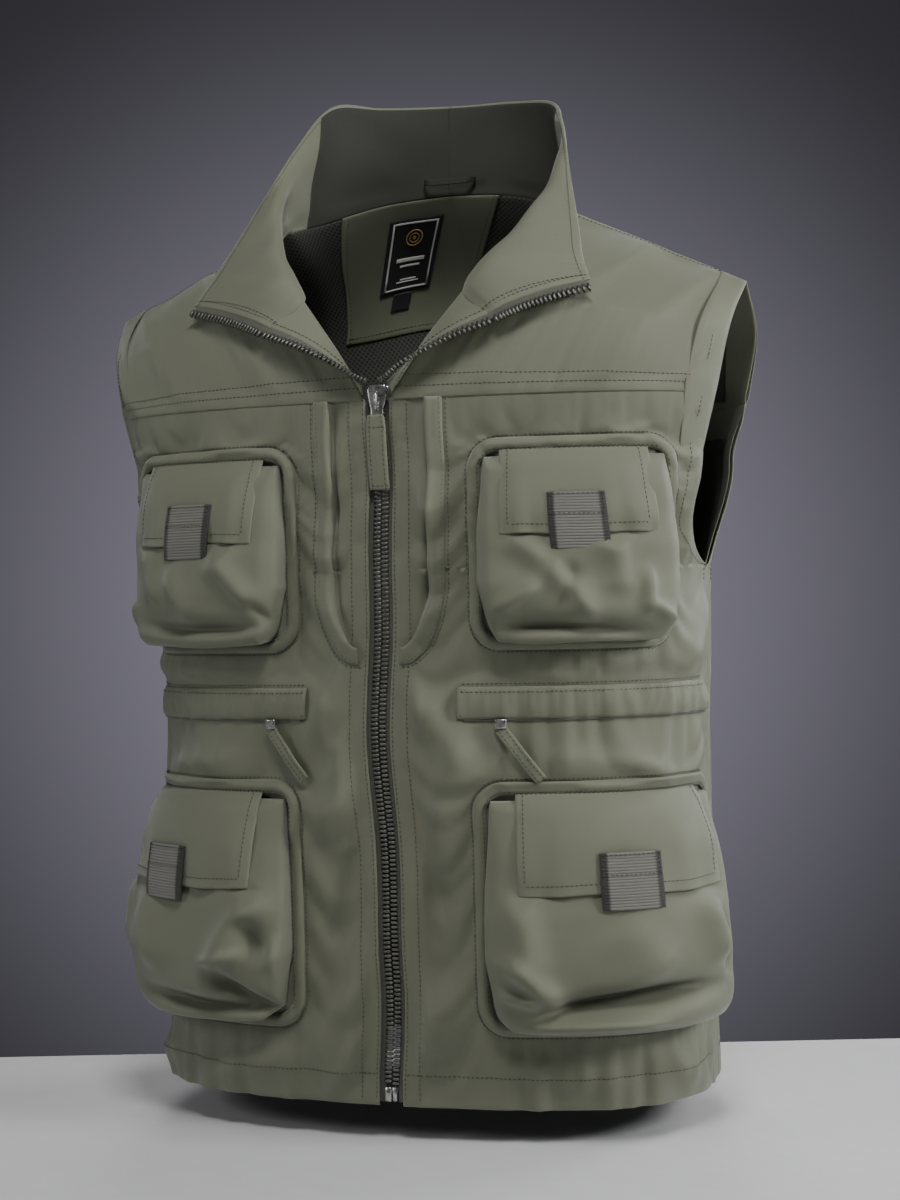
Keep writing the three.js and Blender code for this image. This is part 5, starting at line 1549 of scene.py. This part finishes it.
class VEST_OT_slit_pockets(bpy.types.Operator):
    """Make the curved welts of the slit pockets beside the zip"""

    bl_idname = "vest.slit_pockets"
    bl_label = "Slit pockets"

    def execute(self, context):
        for word, side in SIDES:
            line = self.outline()
            out = np.stack([np.gradient(line[:, 1]), -np.gradient(line[:, 0])], axis=-1)
            out /= np.linalg.norm(out, axis=-1, keepdims=True)
            out *= np.sign(out[:1, :1] + 1e-9)
            share = stations(10, SLIT_WIDTH, 0.5)
            flat = line[:, None] - out[:, None] * (SLIT_WIDTH * share)[None, :, None]
            arch = 0.9 + 4.2 * np.clip(share * 1.1, 0, 1) ** 0.8
            grid = cloth_at("front", side * flat[..., 0], flat[..., 1], arch[None, :])
            add_piece(f"slit_welt_cloth_{word}", slab(grid, 1.3), olive(), f"front_{word}",
                      (f"slit_welt_{word}",))
            rows = [body_stitches("front", side * (line[:, 0] - out[:, 0] * k), line[:, 1] - out[:, 1] * k, h)
                    for k, h in ((2.0, 2.6), (-2.2, 1.0))]
            add_piece(f"slit_stitching_{word}", joined(rows), thread(), f"front_{word}")
        return {"FINISHED"}

    def outline(self):
        """Straight down from the yoke, then a quarter ellipse in towards the zip."""
        turn = np.linspace(0, math.pi / 2 * 1.04, 64)
        arc = np.stack([SLIT_FOOT + (SLIT_HALF - SLIT_FOOT) * np.cos(turn),
                        SLIT_BEND - SLIT_TURN * np.sin(turn)], axis=-1)
        z = np.linspace(YOKE - 2, SLIT_BEND, 70, endpoint=False)
        return np.concatenate([np.stack([np.full_like(z, SLIT_HALF), z], axis=-1), arc])


class VEST_OT_waist_pockets(bpy.types.Operator):
    """Make the waist pocket welts, their zips, sliders and cloth pulls"""

    bl_idname = "vest.waist_pockets"
    bl_label = "Waist pockets"

    def execute(self, context):
        for word, side in SIDES:
            body = f"front_{word}"
            across = stations(110, WELT_LENGTH, 0.6)
            up = stations(16, 22, 0.5)
            u = WELT_INNER + WELT_LENGTH * across[:, None] + 0 * up[None, :]
            z = WELT_LOW - 1 + (WELT_HEIGHT + 2) * up[None, :] + 0 * u
            arch = 1.2 + 2.4 * np.sin(math.pi * np.clip(up, 0, 1)) ** 0.5 - 0.6 * up
            d = arch[None, :] + 0.5 * ripple(141, u, z, 34.0)
            grid = cloth_at("front", side * u, z, d)
            add_piece(f"waist_welt_cloth_{word}", slab(grid, 1.4), olive(), body,
                      (f"waist_welt_{word}",))
            long = np.linspace(WELT_INNER + 2, WELT_INNER + WELT_LENGTH - 2, 300)
            rows = [body_stitches("front", side * long, WELT_LOW + WELT_HEIGHT + 3.0, 0.9),
                    body_stitches("front", side * long, WELT_LOW + WELT_HEIGHT - 2.5, 3.6),
                    body_stitches("front", side * (WELT_INNER + 3.0),
                                  np.linspace(WELT_LOW, WELT_LOW + 19, 30), 3.4)]
            add_piece(f"waist_stitching_{word}", joined(rows), thread(), body)
            z = WELT_LOW - 2.5 + 8 * stations(6, 8, 0.3)
            u = WELT_INNER + 4 + (WELT_LENGTH - 8) * stations(90, 190, 0.4)
            tape = cloth_at("front", side * u[:, None] + 0 * z[None, :], z[None, :] + 0 * u[:, None], 1.6)
            add_piece(f"waist_zip_tape_{word}", slab(tape, TAPE_THICK), tape_cloth(), body,
                      (f"waist_zip_{word}",))
            self.slider(word, side)
        return {"FINISHED"}

    def slider(self, word, side):
        """Small slider under the welt and the leaning cloth pull that hangs from it."""
        middle = side * 84.0
        across, up = stations(10, 8, 0.3), stations(10, 8, 0.3)
        u = middle + 8.0 * (across - 0.5)[:, None] + 0 * up[None, :]
        z = WELT_LOW - 7.5 + 6.5 * up[None, :] + 0 * u
        plate = cloth_at("front", u, z, 4.4 + 0.6 * np.sin(math.pi * across)[:, None], follow=0.6)
        add_piece(f"waist_slider_metal_{word}", slab(plate, 1.8), bright_metal(),
                  f"waist_slider_{word}", (f"waist_slider_{word}",))
        down = stations(40, 44, 0.4)
        reach = 44.0 * down
        lean = 0.64
        lift = 3.4 + 2.4 * np.sin(math.pi * down) + 1.0 * down
        aside = 8.4 * (across - 0.5)[:, None]
        u = middle + aside * math.cos(lean) + (reach * math.sin(lean))[None, :]
        z = WELT_LOW - 8.0 - (reach * math.cos(lean))[None, :] + aside * math.sin(lean)
        strap = cloth_at("front", u, z, lift[None, :] + 0 * u, follow=0.6)[::-1]
        add_piece(f"waist_pull_cloth_{word}", slab(strap, 1.7), olive(), f"waist_pull_{word}",
                  (f"waist_pull_{word}",))
        rows = [stitched(strap, column=k, lift=1.0) for k in (3, -4)]
        add_piece(f"waist_pull_stitching_{word}", joined(rows), thread(), f"waist_pull_{word}")


# ---- Operators: armholes and neck ------------------------------------------------------------
def facing_grid(side):
    """Armhole facing: a strip inside the edge, from the front panel over the shoulder to the back."""
    angle = math.pi / 2 * stations(40, 80, 0.5)
    share = stations(8, 20, 0.4)
    columns = []

    def on_panel(face, angles):
        deepest, turn = ARMHOLE_TURN[face]
        slope = np.stack([-turn * np.sin(angles), -deepest * np.cos(angles)], axis=-1)
        slope /= np.linalg.norm(slope, axis=-1, keepdims=True)
        z = ARMHOLE + turn * (1 - np.cos(angles))[:, None] + 19.0 * share[None, :] * slope[:, 1:]
        total = quarter_length(face, np.clip(z, 0, YOKE))
        u = total - (deepest * np.sin(angles))[:, None] + 19.0 * share[None, :] * slope[:, :1] - 0.8
        return on_body(face, u, z, -2.6)

    def on_yoke(point, reach, t, sign):
        s = 1 - reach * share[None, :] - 0.004
        grid = point(s, t[:, None])
        return grid + grid_normals(grid) * sign * 2.6

    columns.append(on_panel("front", angle))
    columns.append(on_yoke(front_yoke_point, 0.13, np.linspace(0.04, 0.96, 30), 1.0))
    columns.append(on_yoke(back_yoke_point, 0.040, np.linspace(0.96, 0.04, 30), 1.0))
    columns.append(on_panel("back", angle[::-1][:-1]))
    grid = np.concatenate(columns)
    return grid * (side, 1, 1)


class VEST_OT_armholes(bpy.types.Operator):
    """Make the armhole facings and the stitching that holds them"""

    bl_idname = "vest.armholes"
    bl_label = "Armholes"

    def execute(self, context):
        for word, side in SIDES:
            grid = facing_grid(side)
            add_piece(f"armhole_facing_cloth_{word}", slab(grid, 0.9, loop=True), olive(),
                      None, (f"armhole_facing_{word}",), opening=opening_of(word))
            angle = np.linspace(0.05, 1.25, 120)
            for face in ("front", "back"):
                deepest, turn = ARMHOLE_TURN[face]
                z = ARMHOLE + turn * (1 - np.cos(angle)) - 12 * np.cos(angle)
                z = np.concatenate([z, np.linspace(z[-1] + 2, YOKE - 4, 60)])
                u = np.minimum(quarter_length(face, np.clip(z, 0, YOKE)) - 1, edge_length(face, z) - 15)
                keep = z > ARMHOLE - 12
                row = body_stitches(face, side * u[keep], z[keep])
                if face == "front":
                    add_piece(f"armhole_stitching_front_{word}", row, thread(), None,
                              opening=opening_of(word))
                else:
                    add_piece(f"armhole_stitching_back_{word}", row, thread(), "shell")
        return {"FINISHED"}


OFF = -0.03                              # the label sits this share of the yoke to the right of the nape
LABEL_SIDE, LABEL_WIDTH = 0.465 + OFF, 0.062
LABEL_LOW, LABEL_TALL = 0.60, 0.33
LABEL_LEAN = 0.12
# Woven lines on the label, as shares of its width and height: its frame, then plain bars.
LABEL_BARS = (
    (0.07, 0.93, 0.045, 0.065), (0.07, 0.93, 0.935, 0.955), (0.07, 0.10, 0.045, 0.955),
    (0.90, 0.93, 0.045, 0.955), (0.22, 0.78, 0.42, 0.47), (0.30, 0.70, 0.35, 0.375),
    (0.34, 0.66, 0.17, 0.185), (0.28, 0.72, 0.135, 0.15),
)


def inside_patch(s0, s1, t0, t1, inward, columns, rows, lean=LABEL_LEAN):
    """Part of the back yoke's surface, `inward` of it."""
    s = s0 + (s1 - s0) * stations(columns, 100, 0.4)
    t = t0 + (t1 - t0) * stations(rows, 90, 0.4)
    grid = back_yoke_point(s[:, None] + lean * (t - 1)[None, :], t[None, :] + 0 * s[:, None])
    return grid + grid_normals(grid) * inward


class VEST_OT_neck(bpy.types.Operator):
    """Make the neck facing, the plain label with its emblem, the size tab and the hanger loop"""

    bl_idname = "vest.neck"
    bl_label = "Neck"

    def execute(self, context):
        lining = inside_patch(0.07, 0.93, 0.04, 0.99, 2.7, 120, 50, lean=0.0)
        add_piece("back_yoke_lining", slab(lining, LINING_THICK), lining_cloth(), "shell")
        facing = inside_patch(0.415 + OFF, 0.585 + OFF, 0.40, 1.0, 4.2, 60, 50)
        add_piece("neck_facing_cloth", slab(facing, 0.9), olive(), "shell", ("neck_facing",))
        rows = [stitched(facing, column=k, lift=0.8) for k in (3, -4)]
        rows.append(stitched(facing, row=3, lift=0.8))
        add_piece("neck_facing_stitching", joined(rows), thread(), "shell")
        black = cloth_finish("Label cloth", (0.010, 0.010, 0.012), 0.55, 2600.0, 0.2, 0.1, 0.15)
        white = cloth_finish("Label thread", (0.62, 0.61, 0.56), 0.6, 2600.0, 0.1, 0.1, 0.15)
        gold = cloth_finish("Emblem thread", (0.42, 0.28, 0.075), 0.5, 2600.0, 0.1, 0.2, 0.15)
        label = inside_patch(LABEL_SIDE, LABEL_SIDE + LABEL_WIDTH, LABEL_LOW, LABEL_LOW + LABEL_TALL,
                             5.6, 40, 40)
        add_piece("neck_label_cloth", slab(label, 0.7), black, "shell", ("neck_label",))
        tab = inside_patch(0.482 + OFF, 0.504 + OFF, 0.515, 0.595, 5.4, 12, 14)
        add_piece("size_tab_cloth", slab(tab, 0.7), black, "shell", ("size_tab",))
        bars = [self.bar(*shares) for shares in LABEL_BARS]
        add_piece("label_frame", joined(bars), white, "shell")
        emblem = [self.ring(0.085, 0.011), self.ring(0.05, 0.008), self.ring(0.012, 0.012)]
        add_piece("label_emblem", joined(emblem), gold, "shell")
        self.hanger()
        return {"FINISHED"}

    def bar(self, s0, s1, t0, t1):
        """Thin woven bar on the label, between shares of its width and height."""
        return slab(inside_patch(LABEL_SIDE + LABEL_WIDTH * s0, LABEL_SIDE + LABEL_WIDTH * s1,
                                 LABEL_LOW + LABEL_TALL * t0, LABEL_LOW + LABEL_TALL * t1, 6.2, 16, 8), 0.35)

    def ring(self, radius, thick):
        """Round woven line near the top of the label."""
        turn = np.linspace(0, 2 * math.pi, 48, endpoint=False)
        share = stations(4, 2, 0.4)
        reach = radius - thick / 2 + thick * share
        t = LABEL_LOW + LABEL_TALL * 0.74 + 0.40 * reach[None, :] * np.sin(turn)[:, None]
        s = LABEL_SIDE + LABEL_WIDTH / 2 + 0.105 * reach[None, :] * np.cos(turn)[:, None]
        s = s + LABEL_LEAN * (t - 1)
        flat = inside_patch(LABEL_SIDE, LABEL_SIDE + LABEL_WIDTH, 0.80, 0.88, 0.0, 5, 5)
        return slab(back_yoke_point(s, t) + grid_normals(flat)[2, 2] * 6.4, 0.5, loop=True)

    def hanger(self):
        """Hanger loop: a flat tape arched out of the neck seam."""
        low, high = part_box("hanger_loop")
        low, high = np.array(low) * 1000 + NAPE, np.array(high) * 1000 + NAPE
        turn = np.linspace(0, 1, 50)
        x = low[0] + 1 + (high[0] - low[0] - 2) * turn
        bow = np.clip(np.minimum(turn, 1 - turn) / 0.16, 0, 1)
        y = high[1] - (high[1] - low[1] - 1) * bow * (2 - bow)
        share = stations(8, 5, 0.3)
        z = low[2] + 5 * share
        grid = np.stack(np.broadcast_arrays(x[:, None], y[:, None], z[None, :] - 1.5 * bow[:, None]), axis=-1)
        add_piece("hanger_loop_tape", slab(grid, 1.2), dark_olive(), "shell", ("hanger_loop",))


# ---- Stage -----------------------------------------------------------------------------------
AZIMUTH = math.radians(17)
TARGET = Vector((0, -0.06608, -0.320))


class VEST_OT_studio(bpy.types.Operator):
    """Make the pale floor, the backdrop, the soft lights and the camera"""

    bl_idname = "vest.studio"
    bl_label = "Studio"

    def execute(self, context):
        scene = context.scene
        view = Vector((-math.sin(AZIMUTH), math.cos(AZIMUTH), 0))
        across = Vector((math.cos(AZIMUTH), math.sin(AZIMUTH), 0))
        ground = CAD_BOX[0][2] - 0.025
        middle = Vector((*(TARGET - view * 0.75).xy, ground))
        floor = self.rectangle("floor", middle, across * 3.0, view * 0.91)
        material, nodes, links, shader = new_material("Pale floor")
        grain = noise_node(nodes, links, nodes.new("ShaderNodeTexCoord").outputs["Object"], 60.0, 3.0)
        tint, _ = colour_ramp(nodes, links, grain.outputs["Fac"], (0.60, 0.60, 0.61), (0.66, 0.66, 0.67))
        links.new(tint, shader.inputs["Base Color"])
        shader.inputs["Roughness"].default_value = 0.55
        floor.data.materials.append(material)
        self.backdrop(view, across)
        self.world(scene)
        up = Vector((0, 0, 1))
        lights = (
            ("top_key", TARGET - view * 1.05 + across * 0.05 + up * 1.35, 18.0, 0.45),
            ("right_key", TARGET - view * 0.75 + across * 1.45 + up * 0.55, 20.0, 0.45),
            ("left_key", TARGET - view * 0.55 - across * 1.5 + up * 0.45, 5.5, 0.45),
            ("right_rim", TARGET + across * 1.25 + view * 0.55 + up * 0.5, 9.0, 0.6),
            ("back", TARGET + view * 1.6 + up * 0.9, 9.0, 1.0),
        )
        for name, place, power, size in lights:
            self.lamp(scene, name, place, power, size)
        camera = bpy.data.objects.new("camera", bpy.data.cameras.new("camera"))
        camera.data.lens = 59.5
        camera.data.sensor_width = 36.0
        camera.data.shift_x = 14 / 1200
        camera.data.clip_start = 0.01
        aim = view.to_track_quat("-Z", "Y").to_matrix().to_4x4()
        roll = Matrix.Rotation(math.radians(-1.2), 4, "Z")
        camera.matrix_world = Matrix.Translation(TARGET - view * 1.5) @ aim @ roll
        scene.collection.objects.link(camera)
        scene.camera = camera
        return {"FINISHED"}

    def backdrop(self, view, across):
        """Upright sheet far behind that glows though it is no lamp: a painted pool of light at its middle,
        fading to dark grey.
        """
        middle = TARGET + view * 2.7
        piece = self.rectangle("backdrop", middle, across * 4, Vector((0, 0, 3)))
        material, nodes, links, shader = new_material("Backdrop")
        place = nodes.new("ShaderNodeTexCoord")
        centred = nodes.new("ShaderNodeMapping")
        centred.inputs["Location"].default_value = tuple(-c for c in middle)
        away = nodes.new("ShaderNodeVectorMath")
        away.operation = "LENGTH"
        links.new(place.outputs["Object"], centred.inputs["Vector"])
        links.new(centred.outputs["Vector"], away.inputs[0])
        # Painted light: the sheet's own emission, brightest behind the vest.
        spread = math_node(nodes, links, "MULTIPLY", away.outputs["Value"], 0.62)
        glow, ramp = colour_ramp(nodes, links, spread.outputs[0], (0.215, 0.205, 0.255),
                                 (0.030, 0.029, 0.034), (0.05, 1.0))
        ramp.interpolation = "EASE"
        shader.inputs["Base Color"].default_value = (0, 0, 0, 1)
        shader.inputs["Roughness"].default_value = 1.0
        links.new(glow, shader.inputs["Emission Color"])
        shader.inputs["Emission Strength"].default_value = 1.0
        piece.data.materials.append(material)

    def rectangle(self, name, middle, half_across, half_up):
        """Flat rectangle about its middle."""
        signs = ((-1, -1), (1, -1), (1, 1), (-1, 1))
        corners = [tuple(middle + a * half_across + b * half_up) for a, b in signs]
        mesh = bpy.data.meshes.new(name)
        mesh.from_pydata(corners, [], [(0, 1, 2, 3)])
        piece = bpy.data.objects.new(name, mesh)
        bpy.context.scene.collection.objects.link(piece)
        return piece

    def lamp(self, scene, name, place, power, size):
        """Soft square lamp that faces the vest."""
        light = bpy.data.lights.new(name, "AREA")
        light.energy = power
        light.size = size
        lamp = bpy.data.objects.new(name, light)
        aim = (TARGET - place).to_track_quat("-Z", "Y").to_matrix().to_4x4()
        lamp.matrix_world = Matrix.Translation(place) @ aim
        scene.collection.objects.link(lamp)

    def world(self, scene):
        """Dark grey as the camera sees it, lighter as it lights the vest."""
        world = bpy.data.worlds.new("Studio")
        world.use_nodes = True
        scene.world = world
        nodes, links = world.node_tree.nodes, world.node_tree.links
        nodes.clear()
        seen, ambient = nodes.new("ShaderNodeBackground"), nodes.new("ShaderNodeBackground")
        seen.inputs["Color"].default_value = (0.060, 0.058, 0.070, 1)
        ambient.inputs["Color"].default_value = (0.55, 0.56, 0.60, 1)
        ambient.inputs["Strength"].default_value = 0.09
        path = nodes.new("ShaderNodeLightPath")
        mix = nodes.new("ShaderNodeMixShader")
        out = nodes.new("ShaderNodeOutputWorld")
        links.new(path.outputs["Is Camera Ray"], mix.inputs[0])
        links.new(ambient.outputs[0], mix.inputs[1])
        links.new(seen.outputs[0], mix.inputs[2])
        links.new(mix.outputs[0], out.inputs["Surface"])


STEPS = (
    VEST_OT_studio, VEST_OT_back, VEST_OT_fronts, VEST_OT_front_yokes, VEST_OT_collar, VEST_OT_lapels,
    VEST_OT_centre_zip, VEST_OT_cargo_pockets, VEST_OT_flaps, VEST_OT_slit_pockets, VEST_OT_waist_pockets,
    VEST_OT_armholes, VEST_OT_neck,
)


class VEST_PT_sidebar(bpy.types.Panel):
    """Sizes, colours and steps of the vest"""

    bl_idname = "VEST_PT_sidebar"
    bl_label = "Fishing vest"
    bl_space_type = "VIEW_3D"
    bl_region_type = "UI"
    bl_category = "Vest"

    def draw(self, context):
        layout = self.layout
        for settings in (context.scene.vest_cloth, context.scene.vest_trim, context.scene.vest_colours):
            box = layout.box()
            for name in settings.bl_rna.properties.keys():
                if name not in ("rna_type", "name"):
                    box.prop(settings, name)
        for step in STEPS:
            layout.operator(step.bl_idname)


CLASSES = (VestCloth, VestTrim, VestColours, *STEPS, VEST_PT_sidebar)


def register():
    for cls in CLASSES:
        bpy.utils.register_class(cls)
    bpy.types.Scene.vest_cloth = PointerProperty(type=VestCloth)
    bpy.types.Scene.vest_trim = PointerProperty(type=VestTrim)
    bpy.types.Scene.vest_colours = PointerProperty(type=VestColours)


def unregister():
    del bpy.types.Scene.vest_colours, bpy.types.Scene.vest_trim, bpy.types.Scene.vest_cloth
    for cls in reversed(CLASSES):
        bpy.utils.unregister_class(cls)


def main():
    """Registers the add-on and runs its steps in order."""
    register()
    for step in STEPS:
        group, name = step.bl_idname.split(".")
        getattr(getattr(bpy.ops, group), name)()


if __name__ == "__main__":
    main()
